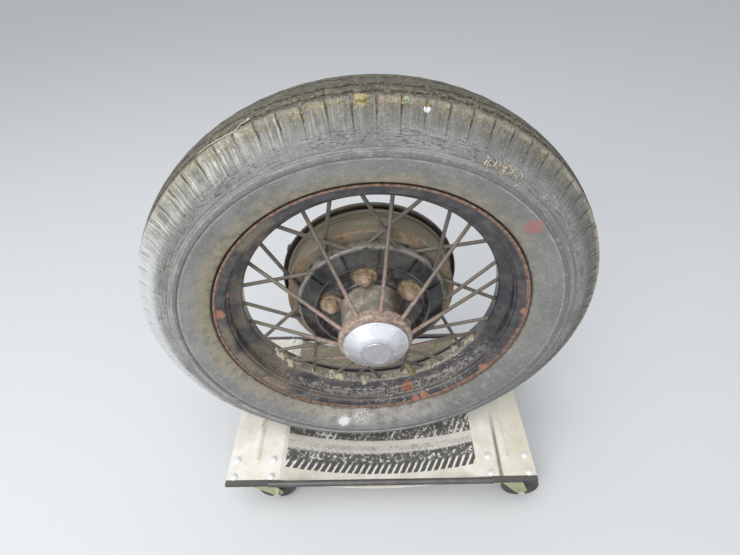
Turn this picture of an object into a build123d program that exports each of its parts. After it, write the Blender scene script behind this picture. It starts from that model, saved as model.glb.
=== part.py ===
# Rear wheel of a vintage car on its wheel dolly.
# A welded wire wheel with its tyre turns on the end of a rear axle, in front of
# the brake drum and backing plate. It is parked on a dished steel dolly that
# rolls on four swivel casters. Sizes are in millimetres.
#
# Frame: +Z up, floor at Z = 0, origin under the wheel's axis, halfway along the dolly's depth.
# The hub cap faces -Y and the axle runs along +Y towards the car.
# A wheel part's Y is measured from the middle of the tyre.

from build123d import *
from math import cos, radians, sin, sqrt, tan
import os

# Tyre
tyre_radius = 372.0
tyre_width = 132.0
widest_share = 0.516484
tread_width = 80.0
tread_crown = 6.0
tread_thickness = 14.4
tread_grooves_y = (13.0, 29.0)
groove_width = 4.4
groove_depth = 4.2
shoulder_step = 7.0
shoulder_drop = 14.0
shoulder_inset = 12.0
tyre_wall = 9.0
foot_wall = 6.3869
side_ring_drops = (34.0, 43.5)
side_ring_width = 5.0
side_ring_height = 1.6
bead_width = 13.0
bead_height = 6.0
bead_chamfer = 3.0

# Rim, measured to the face that the tyre sits on
bead_seat_radius = 241.3
flange_radius = 258.0
flange_turn = 3.8
flange_lean = 2.5
flange_bend = 5.0
lip_bend = 3.0
rim_width = 93.0
rim_bead_radius = 2.7
rim_bead_y = 33.0
well_radius = 221.0
well_width = 19.0
well_offset = 2.5
well_slope = 8.0
rim_sheet = 3.0
rim_bend = 3.5

# Tyre valve, midway between two spokes in the rim's well
valve_angle = -69.4
valve_y = -6.0
valve_radius = 4.2
valve_length = 42.0
valve_foot_height = 4.0
valve_nut_flats = 12.0
valve_nut_height = 5.0

# Wire spokes: ten in front, twenty crossing behind them
spoke_diameter = 6.4
front_spokes_count = 10
first_spoke = 116.6
rim_end_turn = 12.0
shell_end_turn = -9.0
front_rim_end_y = 3.5
crossing_ends_y = {"leading": (-3.0, -2.0), "trailing": (5.0, 3.0)}
spoke_overrun = 12.0

# Hub shell
nose_y = -90.0
nose_lip = 12.0
nose_bend = 3.5
collar_radius = 59.5
collar_length = 14.0
collar_step = 5.0
barrel_radius = 52.0
barrel_flare = 3.0
barrel_bend = 8.0
shell_sheet = 3.0
shell_bend = 2.2
lug_seat_y = -8.0
lug_circle_radius = 69.85
lug_count = 5
lug_boss_radius = 21.0
lug_boss_height = 4.0
lug_boss_taper = 20.0
recess_radius = 90.0
recess_bend = 4.0
ring_inner_radius = 97.0
ring_outer_radius = 128.0
ring_front_y = -21.0
ring_drop = 16.5
ring_back_y = 9.0
ring_bend = 4.0

# Wheel nuts: closed acorns with a tapered seat, on studs in the hub
nut_across_flats = 20.6
nut_hexagon_height = 10.0
nut_height = 19.0
nut_dome_radius = 9.4
nut_taper_depth = 2.5
nut_bore_depth = 12.0
nut_chamfer = 1.5
stud_radius = 6.35
stud_clearance = 1.0

# Hub cap
cap_radius = 52.0
cap_depth = 16.0
cap_skirt = 8.0
cap_skirt_draft = 3.0
cap_edge = 2.0
cap_sheet = 1.5
cap_bead_radius = 1.5
cap_crown_share = 0.62
cap_waist_share = 0.66
medallion_radius = 23.5
medallion_crown = 0.8
medallion_ring_radius = 1.2

# Brake drum, hub and axle shaft
drum_radius = 145.0
drum_face_y = 10.0
drum_back_y = 66.0
drum_sheet = 6.0
drum_lip = 3.5
drum_corner = 3.0
drum_slope = 14.0
drum_step_in = 2.0
drum_band_width = 5.0
drum_band_height = 1.2
drum_centre_gap = 6.0
hub_radius = 40.0
hub_taper = 6.0
hub_nose_inset = 24.0
hub_flange_radius = 88.0
hub_flange_thickness = 7.0
hub_cup_wall = 6.0
hub_end_y = 58.0
shaft_radius = 14.3
shaft_inset = 6.0
shaft_nut_flats = 38.0
shaft_nut_height = 14.0

# Backing plate and axle housing
plate_radius = 157.0
plate_y = 72.0
plate_sheet = 3.0
plate_lip = 8.0
plate_band_radius = 130.0
plate_dish = 6.0
plate_dish_slope = 8.0
sleeve_radius = 33.0
sleeve_gap = 5.0
bell_radius = 56.0
bell_flange = 9.0
bell_step = 3.0
bell_shoulder = 9.0
bell_length = 52.0
tube_radius = 28.6
tube_wall = 6.0
tube_end_y = 168.0

# Brake lever and brake adjuster
brake_pin_circle_radius = 104.0
lever_angle = 118.0
lever_tilt = 20.0
lever_reach = 92.0
lever_width = 18.0
lever_thickness = 8.0
lever_eye_radius = 4.5
cam_boss_radius = 13.0
cam_boss_height = 22.0
cam_boss_end = 2.0
adjuster_boss_radius = 14.0
adjuster_boss_height = 10.0
adjuster_square = 11.0
adjuster_length = 14.0

# Dolly: a dished deck with a straight rail along each long edge
dolly_turn = -3.1
dolly_x = 9.0
dish_length = 400.0
deck_end = 105.0
deck_depth = 359.0
wheel_setback = 159.0
deck_height = 112.0
deck_sheet = 3.0
dish_depth = 44.0
rib_width = 16.0
rib_height = 3.0
rib_end_gap = 38.0
rib_inset = 53.0
lift_hole_radius = 6.5
lift_hole_inset = 59.0
lift_hole_setback = 117.0
rail_radius = 6.0
rail_block_length = 85.0
rail_block_width = 10.0
rail_block_height = 8.0

# Casters
caster_inset_x = 51.5
caster_inset_y = 23.2
caster_plate_length = 92.0
caster_plate_width = 45.0
caster_plate_sheet = 2.5
caster_plate_corner = 6.0
caster_wheel_radius = 37.5
caster_wheel_width = 24.0
caster_wheel_chamfer = 3.0
caster_trail = 36.0
caster_hub_radius = 10.0
fork_gap = 4.5
fork_sheet = 2.5
fork_width = 46.0
fork_skirt = 6.0
fork_eye_radius = 12.0
race_radius = 21.0
race_height = 8.5
crown_radius = 24.0
king_pin_radius = 6.0
king_pin_head = 9.0
king_pin_head_height = 3.0
caster_bolt_radius = 4.0
caster_nut_flats = 13.0
caster_nut_height = 6.5

# Clearances
rest_gap = 0.3
pin_gap = 0.3
seat_gap = 0.2

# Worked out from the sizes above
dish_floor = deck_height - dish_depth
deck_length = dish_length + 2 * deck_end
half_deck = deck_length / 2
half_dish = dish_length / 2
dish_radius = (half_dish ** 2 + dish_depth ** 2) / (2 * dish_depth)
wheel_y = wheel_setback - deck_depth / 2
dish_x = dolly_x - wheel_y * tan(radians(dolly_turn))
seat_radius = bead_seat_radius - rim_sheet / 2
well_line = well_radius - rim_sheet / 2
well_inside = well_radius - rim_sheet
flange_y = rim_width / 2 - flange_turn - flange_lean
lug_start = first_spoke - 180 / front_spokes_count
nut_seat_y = lug_seat_y - lug_boss_height
drum_seat_y = lug_seat_y + shell_sheet
hub_flange_y = drum_seat_y + drum_sheet
plate_centre_y = plate_y - plate_dish
housing_back = plate_centre_y + plate_sheet
plate_bottom = deck_height - deck_sheet - caster_plate_sheet
fork_top = plate_bottom - race_height - pin_gap
leg_inside = caster_wheel_width / 2 + fork_gap
bolt_end = leg_inside + fork_sheet

# The wheel stands where its tyre first meets the dish, which lies a little to one side
rest_radius = tyre_radius + rest_gap
rest_heights = []
for x in range(-int(half_dish), int(half_dish)):
    dish_height = dish_floor + dish_radius - sqrt(dish_radius ** 2 - x ** 2)
    rest_heights.append(dish_height + sqrt(rest_radius ** 2 - (x + dish_x) ** 2))
axle_height = max(rest_heights)

axle = Axis((0, wheel_y, axle_height), (0, 1, 0))
section = Plane(origin=(0, wheel_y, axle_height), x_dir=(0, 1, 0), z_dir=(1, 0, 0))
dolly = Location((dolly_x, 0, 0), (0, 0, dolly_turn))


def facing_front(y):
    """Plane square to the axle at y: X to the right, Z up, looking out of the car."""
    return Plane(origin=(0, wheel_y + y, axle_height), x_dir=(1, 0, 0), z_dir=(0, -1, 0))


def facing_back(y):
    """Plane square to the axle at y, looking at the car. Its X runs to the left, its Y up from the floor."""
    return Plane(origin=(0, wheel_y + y, 0), x_dir=(-1, 0, 0), z_dir=(0, 1, 0))


def on_dolly(plane):
    """The same plane, turned with the dolly."""
    return Plane(dolly * plane.location)


def wheel_point(radius, angle, y):
    """A point at a radius and an angle round the axle."""
    turn = radians(angle)
    return Vector(radius * cos(turn), wheel_y + y, axle_height + radius * sin(turn))


def nut_places():
    """The five wheel nuts' places round the axle."""
    return PolarLocations(lug_circle_radius, lug_count, start_angle=lug_start)


def save(builder, name):
    """Label a finished piece and write it."""
    builder.part.label = name
    export_step(builder.part, f"parts/{name}.step")


os.makedirs("parts", exist_ok=True)

# Tyre: a C-shaped section whose beads sit on the rim inside its flanges
bead_y = flange_y - rim_sheet / 2 - seat_gap
bead_r = bead_seat_radius + seat_gap
bead_back_y = bead_y - bead_width
side_foot = (rim_width / 2, flange_radius + rim_sheet)
shoulder_r = tyre_radius - tread_crown
half_tyre = tyre_width / 2
half_tread = tread_width / 2
side_top = (half_tread + shoulder_step, shoulder_r - shoulder_drop)
widest_radius = side_foot[1] + widest_share * (side_top[1] - side_foot[1])
side_ring_radii = [side_top[1] - drop for drop in side_ring_drops]
tread_inside = tyre_radius - tread_thickness


def side_y(radius):
    """The tyre's half width at a radius, on the arc above or below its widest point."""
    end_y, end_r = side_top if radius > widest_radius else side_foot
    step_y, step_r = half_tyre - end_y, end_r - widest_radius
    arc = (step_y ** 2 + step_r ** 2) / (2 * step_y)
    return half_tyre - arc + sqrt(arc ** 2 - (radius - widest_radius) ** 2)


def tread_r(y):
    """The tread's radius at y, on the crowned arc between its edges."""
    arc = (half_tread ** 2 + tread_crown ** 2) / (2 * tread_crown)
    return tyre_radius - arc + sqrt(arc ** 2 - y ** 2)


with BuildPart() as tyre:
    with BuildSketch(section):
        for side in (-1, 1):
            with BuildLine():
                Polyline(
                    (0, tyre_radius),
                    (0, tread_inside),
                    (side * (half_tread - shoulder_inset), tread_inside),
                )
                TangentArc(
                    (side * (half_tyre - tyre_wall), widest_radius),
                    (side * (half_tread - shoulder_inset), tread_inside),
                    tangent=(0, 1),
                )
                ThreePointArc(
                    (side * (half_tyre - tyre_wall), widest_radius),
                    (side * (side_foot[0] - foot_wall), side_foot[1]),
                    (side * bead_back_y, bead_r + bead_height),
                )
                Polyline(
                    (side * bead_back_y, bead_r + bead_height),
                    (side * bead_back_y, bead_r),
                    (side * (bead_y - bead_chamfer), bead_r),
                    (side * bead_y, bead_r + bead_chamfer),
                    (side * bead_y, flange_radius + seat_gap),
                    (side * side_foot[0], side_foot[1]),
                )
                TangentArc(
                    (side * half_tyre, widest_radius),
                    (side * side_foot[0], side_foot[1]),
                    tangent=(0, -1),
                )
                TangentArc(
                    (side * half_tyre, widest_radius),
                    (side * side_top[0], side_top[1]),
                    tangent=(0, 1),
                )
                Line((side * side_top[0], side_top[1]), (side * half_tread, shoulder_r))
                TangentArc((0, tyre_radius), (side * half_tread, shoulder_r), tangent=(side, 0))
            make_face()
            for ring_radius in side_ring_radii:
                with Locations((side * (side_y(ring_radius) - side_ring_height), ring_radius)):
                    Trapezoid(
                        side_ring_width,
                        2 * side_ring_height,
                        60,
                        rotation=-90 * side,
                        align=(Align.CENTER, Align.MIN),
                    )
            for groove_y in tread_grooves_y:
                with Locations((side * groove_y, tread_r(groove_y))):
                    Rectangle(groove_width, 2 * groove_depth, mode=Mode.SUBTRACT)
    revolve(axis=axle)
save(tyre, "tyre")

# Rim: one rolled sheet, from turned-out lip to drop centre to turned-out lip,
# with a half-round bead rolled under each tyre seat
lip_r = flange_radius - rim_sheet / 2
flange_line = [
    (rim_width / 2, lip_r),
    (flange_y + flange_lean, lip_r),
    (flange_y, seat_radius),
]
rim_line = [
    *[(-y, r) for y, r in flange_line],
    (well_offset - well_width / 2 - well_slope, seat_radius),
    (well_offset - well_width / 2, well_line),
    (well_offset + well_width / 2, well_line),
    (well_offset + well_width / 2 + well_slope, seat_radius),
    *reversed(flange_line),
]
rim_bends = [lip_bend, flange_bend, *[rim_bend] * 4, flange_bend, lip_bend]
valve_hole = wheel_point(well_line, valve_angle, valve_y)
with BuildPart() as rim:
    with BuildSketch(section):
        with BuildLine():
            FilletPolyline(*rim_line, radius=rim_bends)
        trace(line_width=rim_sheet)
        with Locations(
            (-rim_bead_y, seat_radius - rim_sheet / 2),
            (rim_bead_y, seat_radius - rim_sheet / 2),
        ):
            Circle(rim_bead_radius)
    revolve(axis=axle)
    with BuildSketch(Plane(origin=valve_hole, z_dir=valve_hole - wheel_point(0, 0, valve_y))):
        Circle(valve_radius + seat_gap)
    extrude(amount=3 * rim_sheet, both=True, mode=Mode.SUBTRACT)
save(rim, "rim")

# Hub shell: nose collar, barrel, lug seat, recess wall and black ring, one pressing,
# with a raised boss and a tapered hole for each wheel nut
sheet_half = shell_sheet / 2
shell_line = [
    (nose_y, collar_radius - sheet_half - nose_lip),
    (nose_y, collar_radius - sheet_half),
    (nose_y + collar_length, collar_radius - sheet_half),
    (nose_y + collar_length + collar_step, barrel_radius - sheet_half),
    (lug_seat_y + sheet_half, barrel_radius + barrel_flare - sheet_half),
    (lug_seat_y + sheet_half, recess_radius),
    (ring_front_y + sheet_half, ring_inner_radius),
    (ring_front_y + ring_drop, ring_outer_radius - sheet_half),
    (ring_back_y, ring_outer_radius - sheet_half),
]
shell_bends = [nose_bend, shell_bend, shell_bend, barrel_bend, recess_bend, ring_bend, ring_bend]
nut_taper_radius = nut_across_flats / 2 + seat_gap
stud_hole_radius = stud_radius + stud_clearance
with BuildPart() as hub_shell:
    with BuildSketch(section):
        with BuildLine():
            FilletPolyline(*shell_line, radius=shell_bends)
        trace(line_width=shell_sheet)
    revolve(axis=axle)
    with BuildSketch(facing_front(lug_seat_y)):
        with nut_places():
            Circle(lug_boss_radius)
    extrude(amount=lug_boss_height, taper=lug_boss_taper)
    with BuildSketch(facing_front(nut_seat_y)):
        with nut_places():
            Circle(nut_taper_radius)
    extrude(amount=-nut_taper_depth, taper=45, mode=Mode.SUBTRACT)
    with BuildSketch(facing_front(nut_seat_y)):
        with nut_places():
            Circle(stud_hole_radius)
    extrude(amount=-lug_boss_height - 2 * shell_sheet, mode=Mode.SUBTRACT)
save(hub_shell, "hub_shell")

# Front spokes: from the collar behind the hub cap straight out to the rim's well
collar_y = nose_y + collar_length / 2
spoke_angles = [first_spoke - 360 / front_spokes_count * k for k in range(front_spokes_count)]
with BuildPart() as front_spokes:
    for spoke_angle in spoke_angles:
        inner = wheel_point(collar_radius, spoke_angle, collar_y)
        outer = wheel_point(well_inside, spoke_angle, front_rim_end_y)
        along = (outer - inner).normalized()
        with BuildSketch(Plane(origin=inner - along * spoke_overrun, z_dir=along)):
            Circle(spoke_diameter / 2)
        extrude(amount=(outer - inner).length + 2 * spoke_overrun)
    with BuildSketch(section):
        with Locations(((nose_y + rim_width / 2) / 2, (collar_radius + well_inside) / 2)):
            Rectangle(rim_width / 2 - nose_y + 2 * spoke_overrun, well_inside - collar_radius)
    revolve(axis=axle, mode=Mode.INTERSECT)
save(front_spokes, "front_spokes")

# Rear spokes: pairs that cross behind each front spoke
for name, side in (("leading", 1), ("trailing", -1)):
    shell_y, rim_y = crossing_ends_y[name]
    with BuildPart() as rear_spokes:
        for spoke_angle in spoke_angles:
            inner = wheel_point(ring_outer_radius, spoke_angle + side * shell_end_turn, shell_y)
            outer = wheel_point(well_inside, spoke_angle + side * rim_end_turn, rim_y)
            along = (outer - inner).normalized()
            with BuildSketch(Plane(origin=inner - along * spoke_overrun, z_dir=along)):
                Circle(spoke_diameter / 2)
            extrude(amount=(outer - inner).length + 2 * spoke_overrun)
        with BuildSketch(section):
            with Locations((0, (ring_outer_radius + well_inside) / 2)):
                Rectangle(rim_width, well_inside - ring_outer_radius)
        revolve(axis=axle, mode=Mode.INTERSECT)
    save(rear_spokes, f"rear_spokes_{name}")

# Hub cap: a pressed dome with a rolled edge, a plain ring round its middle and
# a skirt that slips into the nose
cap_seat_y = nose_y - sheet_half - seat_gap
cap_rim_y = nose_y - sheet_half - cap_skirt
cap_edge_y = cap_rim_y + cap_edge
cap_front_y = cap_rim_y - cap_depth
skirt_radius = cap_radius - cap_skirt_draft
crown_y = cap_rim_y - cap_depth * cap_crown_share
waist_radius = cap_radius * cap_waist_share
with BuildPart() as hub_cap:
    with BuildSketch(section):
        with BuildLine():
            Line((cap_seat_y, skirt_radius), (cap_edge_y, cap_radius))
            ThreePointArc(
                (cap_edge_y, cap_radius),
                (crown_y, waist_radius),
                (cap_front_y, medallion_radius),
            )
            Line((cap_front_y, medallion_radius), (cap_front_y - medallion_crown, 0))
            Line((cap_front_y - medallion_crown, 0), (cap_front_y - medallion_crown + cap_sheet, 0))
            Line(
                (cap_front_y - medallion_crown + cap_sheet, 0),
                (cap_front_y + cap_sheet, medallion_radius),
            )
            ThreePointArc(
                (cap_front_y + cap_sheet, medallion_radius),
                (crown_y + cap_sheet, waist_radius - cap_sheet / 2),
                (cap_edge_y, cap_radius - cap_sheet),
            )
            Line((cap_edge_y, cap_radius - cap_sheet), (cap_seat_y, skirt_radius - cap_sheet))
            Line((cap_seat_y, skirt_radius - cap_sheet), (cap_seat_y, skirt_radius))
        make_face()
        with Locations((cap_edge_y, cap_radius - cap_bead_radius)):
            Circle(cap_bead_radius)
        with Locations((cap_front_y + medallion_ring_radius / 4, medallion_radius)):
            Circle(medallion_ring_radius)
    revolve(axis=axle)
save(hub_cap, "hub_cap")

# Wheel nut: a hexagon turned to a tapered seat below and a closed dome above
nut_corner_radius = nut_across_flats / sqrt(3)
nut_shoulder = nut_hexagon_height - nut_chamfer
dome_rise = nut_height - nut_hexagon_height
with BuildPart() as wheel_nut:
    with BuildSketch(Plane.XY.offset(-nut_taper_depth)):
        RegularPolygon(nut_across_flats / 2, 6, major_radius=False)
    extrude(amount=nut_taper_depth + nut_height)
    with BuildSketch(Plane.XZ):
        with BuildLine():
            Polyline(
                (0, -nut_taper_depth),
                (nut_across_flats / 2 - nut_taper_depth, -nut_taper_depth),
                (nut_across_flats / 2, 0),
                (nut_corner_radius, nut_chamfer),
                (nut_corner_radius, nut_shoulder),
                (nut_dome_radius, nut_hexagon_height),
            )
            ThreePointArc(
                (nut_dome_radius, nut_hexagon_height),
                (nut_dome_radius * cos(radians(45)), nut_hexagon_height + dome_rise * sin(radians(45))),
                (0, nut_height),
            )
            Line((0, nut_height), (0, -nut_taper_depth))
        make_face()
    revolve(axis=Axis.Z, mode=Mode.INTERSECT)
    with BuildSketch(Plane.XY.offset(-nut_taper_depth)):
        Circle(stud_radius)
    extrude(amount=nut_taper_depth + nut_bore_depth, mode=Mode.SUBTRACT)

# Five wheel nuts on the five studs
with BuildPart(facing_front(nut_seat_y)) as wheel_nuts:
    with nut_places():
        add(wheel_nut.part)
save(wheel_nuts, "wheel_nuts")

# Brake drum: stepped face, straight wall with a raised band, and a narrow lip
drum_inside = drum_radius - drum_sheet
lip_front_y = drum_back_y - drum_lip
with BuildPart() as brake_drum:
    with BuildSketch(section):
        with BuildLine():
            Polyline(
                (drum_seat_y, hub_radius + drum_centre_gap),
                (drum_seat_y, recess_radius),
                (drum_face_y, recess_radius + drum_slope),
                (drum_face_y, drum_radius - drum_corner),
                (drum_face_y + drum_corner, drum_radius),
                (lip_front_y - drum_band_width, drum_radius),
                (lip_front_y - drum_band_width, drum_radius + drum_band_height),
                (lip_front_y, drum_radius + drum_band_height),
                (lip_front_y, drum_radius + drum_lip),
                (drum_back_y, drum_radius + drum_lip),
                (drum_back_y, drum_inside),
                (drum_face_y + drum_sheet, drum_inside),
                (drum_face_y + drum_sheet, recess_radius + drum_slope - drum_step_in),
                (drum_seat_y + drum_sheet, recess_radius - drum_step_in),
                (drum_seat_y + drum_sheet, hub_radius + drum_centre_gap),
                close=True,
            )
        make_face()
    revolve(axis=axle)
    with BuildSketch(facing_front(drum_seat_y)):
        with nut_places():
            Circle(stud_radius)
    extrude(amount=-drum_sheet, mode=Mode.SUBTRACT)
save(brake_drum, "brake_drum")

# Hub: tapered nose, flange behind the drum, five studs and the bearing cup
hub_front_y = nose_y + hub_nose_inset
hub_step_y = hub_flange_y + hub_flange_thickness
cup_radius = sleeve_radius + pin_gap
with BuildPart() as hub:
    with BuildSketch(section):
        with BuildLine():
            Polyline(
                (hub_front_y, shaft_radius),
                (hub_front_y, hub_radius - hub_taper),
                (drum_seat_y, hub_radius),
                (hub_flange_y, hub_radius),
                (hub_flange_y, hub_flange_radius),
                (hub_step_y, hub_flange_radius),
                (hub_step_y, hub_radius + hub_cup_wall),
                (hub_end_y, hub_radius + hub_cup_wall),
                (hub_end_y, cup_radius),
                (hub_step_y, cup_radius),
                (hub_step_y, shaft_radius),
                close=True,
            )
        make_face()
    revolve(axis=axle)
    with BuildSketch(facing_front(hub_flange_y)):
        with nut_places():
            Circle(stud_radius)
    extrude(amount=hub_flange_y - nut_seat_y + nut_bore_depth - seat_gap)
save(hub, "hub")

# Axle shaft with its nut, ending flush with the cut end of the housing
with BuildPart() as axle_shaft:
    with BuildSketch(facing_front(tube_end_y)):
        Circle(shaft_radius)
    extrude(amount=tube_end_y - nose_y - shaft_inset)
    with BuildSketch(facing_front(hub_front_y)):
        RegularPolygon(shaft_nut_flats / 2, 6, major_radius=False)
    extrude(amount=shaft_nut_height)
save(axle_shaft, "axle_shaft")

# Backing plate: a dished steel disc with a turned lip round the drum
lip_line = plate_radius - plate_sheet / 2
plate_line = [
    (plate_y - plate_lip, lip_line),
    (plate_y + plate_sheet / 2, lip_line),
    (plate_y + plate_sheet / 2, plate_band_radius),
    (plate_centre_y + plate_sheet / 2, plate_band_radius - plate_dish_slope),
    (plate_centre_y + plate_sheet / 2, sleeve_radius + seat_gap),
]
with BuildPart() as backing_plate:
    with BuildSketch(section):
        with BuildLine():
            FilletPolyline(*plate_line, radius=plate_sheet)
        trace(line_width=plate_sheet)
    revolve(axis=axle)
save(backing_plate, "backing_plate")

# Axle housing: bearing sleeve, flange, bell and the cut tube
sleeve_y = hub_step_y + sleeve_gap
with BuildPart() as axle_housing:
    with BuildSketch(section):
        with BuildLine():
            Polyline(
                (sleeve_y, sleeve_radius),
                (housing_back, sleeve_radius),
                (housing_back, bell_radius),
                (housing_back + bell_flange, bell_radius),
                (housing_back + bell_flange + bell_step, bell_radius - bell_shoulder),
                (housing_back + bell_length, tube_radius),
                (tube_end_y, tube_radius),
                (tube_end_y, tube_radius - tube_wall),
                (sleeve_y, tube_radius - tube_wall),
                close=True,
            )
        make_face()
    revolve(axis=axle)
save(axle_housing, "axle_housing")

# Brake lever on the cam shaft, behind the plate
cam_shaft = wheel_point(brake_pin_circle_radius, lever_angle, 0)
lever_run = Vector(cos(radians(lever_tilt)), 0, sin(radians(lever_tilt)))
lever_tip = cam_shaft - lever_run * lever_reach
cam_boss_y = housing_back + cam_boss_height
lever_y = cam_boss_y - lever_thickness - cam_boss_end
with BuildPart() as brake_lever:
    with BuildSketch(facing_back(housing_back)):
        with Locations((-cam_shaft.X, cam_shaft.Z)):
            Circle(cam_boss_radius)
    extrude(amount=cam_boss_height)
    with BuildSketch(facing_back(lever_y)):
        with Locations((-cam_shaft.X, cam_shaft.Z)):
            Circle(cam_boss_radius)
        with Locations((-lever_tip.X, lever_tip.Z)):
            Circle(lever_width / 2)
        make_hull()
        with Locations((-lever_tip.X, lever_tip.Z)):
            Circle(lever_eye_radius, mode=Mode.SUBTRACT)
    extrude(amount=lever_thickness)
save(brake_lever, "brake_lever")

# Brake adjuster: a square-headed wedge opposite the cam
adjuster = wheel_point(brake_pin_circle_radius, lever_angle - 180, 0)
with BuildPart() as brake_adjuster:
    with BuildSketch(facing_back(housing_back)):
        with Locations((-adjuster.X, adjuster.Z)):
            Circle(adjuster_boss_radius)
    extrude(amount=adjuster_boss_height)
    with BuildSketch(facing_back(housing_back + adjuster_boss_height)):
        with Locations((-adjuster.X, adjuster.Z)):
            Rectangle(adjuster_square, adjuster_square)
    extrude(amount=adjuster_length)
save(brake_adjuster, "brake_adjuster")

# Tyre valve: a stem through the rim's well with its nut, pointing at the hub
valve_foot = wheel_point(well_radius + valve_foot_height, valve_angle, valve_y)
valve_in = (wheel_point(0, 0, valve_y) - valve_foot).normalized()
nut_rise = valve_nut_flats ** 2 / (3 * well_radius)
valve_nut_seat = valve_foot + valve_in * (valve_foot_height + rim_sheet + nut_rise)
with BuildPart() as valve_stem:
    with BuildSketch(Plane(origin=valve_foot, z_dir=valve_in)):
        Circle(valve_radius)
    extrude(amount=valve_foot_height + valve_length)
    with BuildSketch(Plane(origin=valve_nut_seat, z_dir=valve_in)):
        RegularPolygon(valve_nut_flats / 2, 6, major_radius=False)
    extrude(amount=valve_nut_height)
save(valve_stem, "valve_stem")

# Deck: a sheet pressed into a shallow dish between two flat ends
deck_front = on_dolly(Plane(origin=(0, -deck_depth / 2, 0), x_dir=(1, 0, 0), z_dir=(0, -1, 0)))
rib_x = half_deck - rib_inset
rib_length = deck_depth - 2 * rib_end_gap
lift_hole_x = half_deck - lift_hole_inset
lift_hole_y = deck_depth / 2 - lift_hole_setback
rib_radius = ((rib_width / 2) ** 2 + rib_height ** 2) / (2 * rib_height)
rib_centre = deck_height + rib_height - rib_radius
with BuildPart() as deck:
    with BuildSketch(deck_front):
        with BuildLine():
            Line((-half_deck, deck_height), (-half_dish, deck_height))
            ThreePointArc((-half_dish, deck_height), (0, dish_floor), (half_dish, deck_height))
            Line((half_dish, deck_height), (half_deck, deck_height))
            Line((half_deck, deck_height), (half_deck, deck_height - deck_sheet))
            Line((half_deck, deck_height - deck_sheet), (half_dish, deck_height - deck_sheet))
            ThreePointArc(
                (half_dish, deck_height - deck_sheet),
                (0, dish_floor - deck_sheet),
                (-half_dish, deck_height - deck_sheet),
            )
            Line((-half_dish, deck_height - deck_sheet), (-half_deck, deck_height - deck_sheet))
            Line((-half_deck, deck_height - deck_sheet), (-half_deck, deck_height))
        make_face()
    extrude(amount=-deck_depth)
    for x in (-rib_x, rib_x):
        with BuildSketch(on_dolly(Plane(origin=(x, 0, 0), x_dir=(1, 0, 0), z_dir=(0, -1, 0)))):
            with Locations((0, rib_centre)):
                Circle(rib_radius)
            with Locations((0, deck_height - deck_sheet / 2)):
                Rectangle(
                    4 * rib_radius,
                    2 * rib_radius,
                    align=(Align.CENTER, Align.MAX),
                    mode=Mode.SUBTRACT,
                )
        extrude(amount=rib_length / 2, both=True)
    with BuildSketch(on_dolly(Plane.XY.offset(deck_height - deck_sheet))):
        with Locations((-lift_hole_x, -lift_hole_y), (lift_hole_x, lift_hole_y)):
            Circle(lift_hole_radius)
    extrude(amount=deck_sheet + rib_height, mode=Mode.SUBTRACT)
save(deck, "deck")

# Rails: a bright round rod between two black blocks along each long edge
rod_length = deck_length - 2 * rail_block_length
rail_y = deck_depth / 2 + rail_radius
rail_z = deck_height - rail_radius
block_y = deck_depth / 2 + rail_block_width / 2
for name, side in (("front", -1), ("rear", 1)):
    with BuildPart() as rail:
        with BuildSketch(on_dolly(Plane(origin=(0, 0, 0), x_dir=(0, 1, 0), z_dir=(1, 0, 0)))):
            with Locations((side * rail_y, rail_z)):
                Circle(rail_radius)
        extrude(amount=rod_length / 2, both=True)
    save(rail, f"{name}_rod")
    with BuildPart() as blocks:
        with BuildSketch(on_dolly(Plane.XY.offset(deck_height - rail_block_height))):
            for end in (-1, 1):
                with Locations((end * (deck_length - rail_block_length) / 2, side * block_y)):
                    Rectangle(rail_block_length, rail_block_width)
        extrude(amount=rail_block_height)
    save(blocks, f"{name}_blocks")

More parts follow.
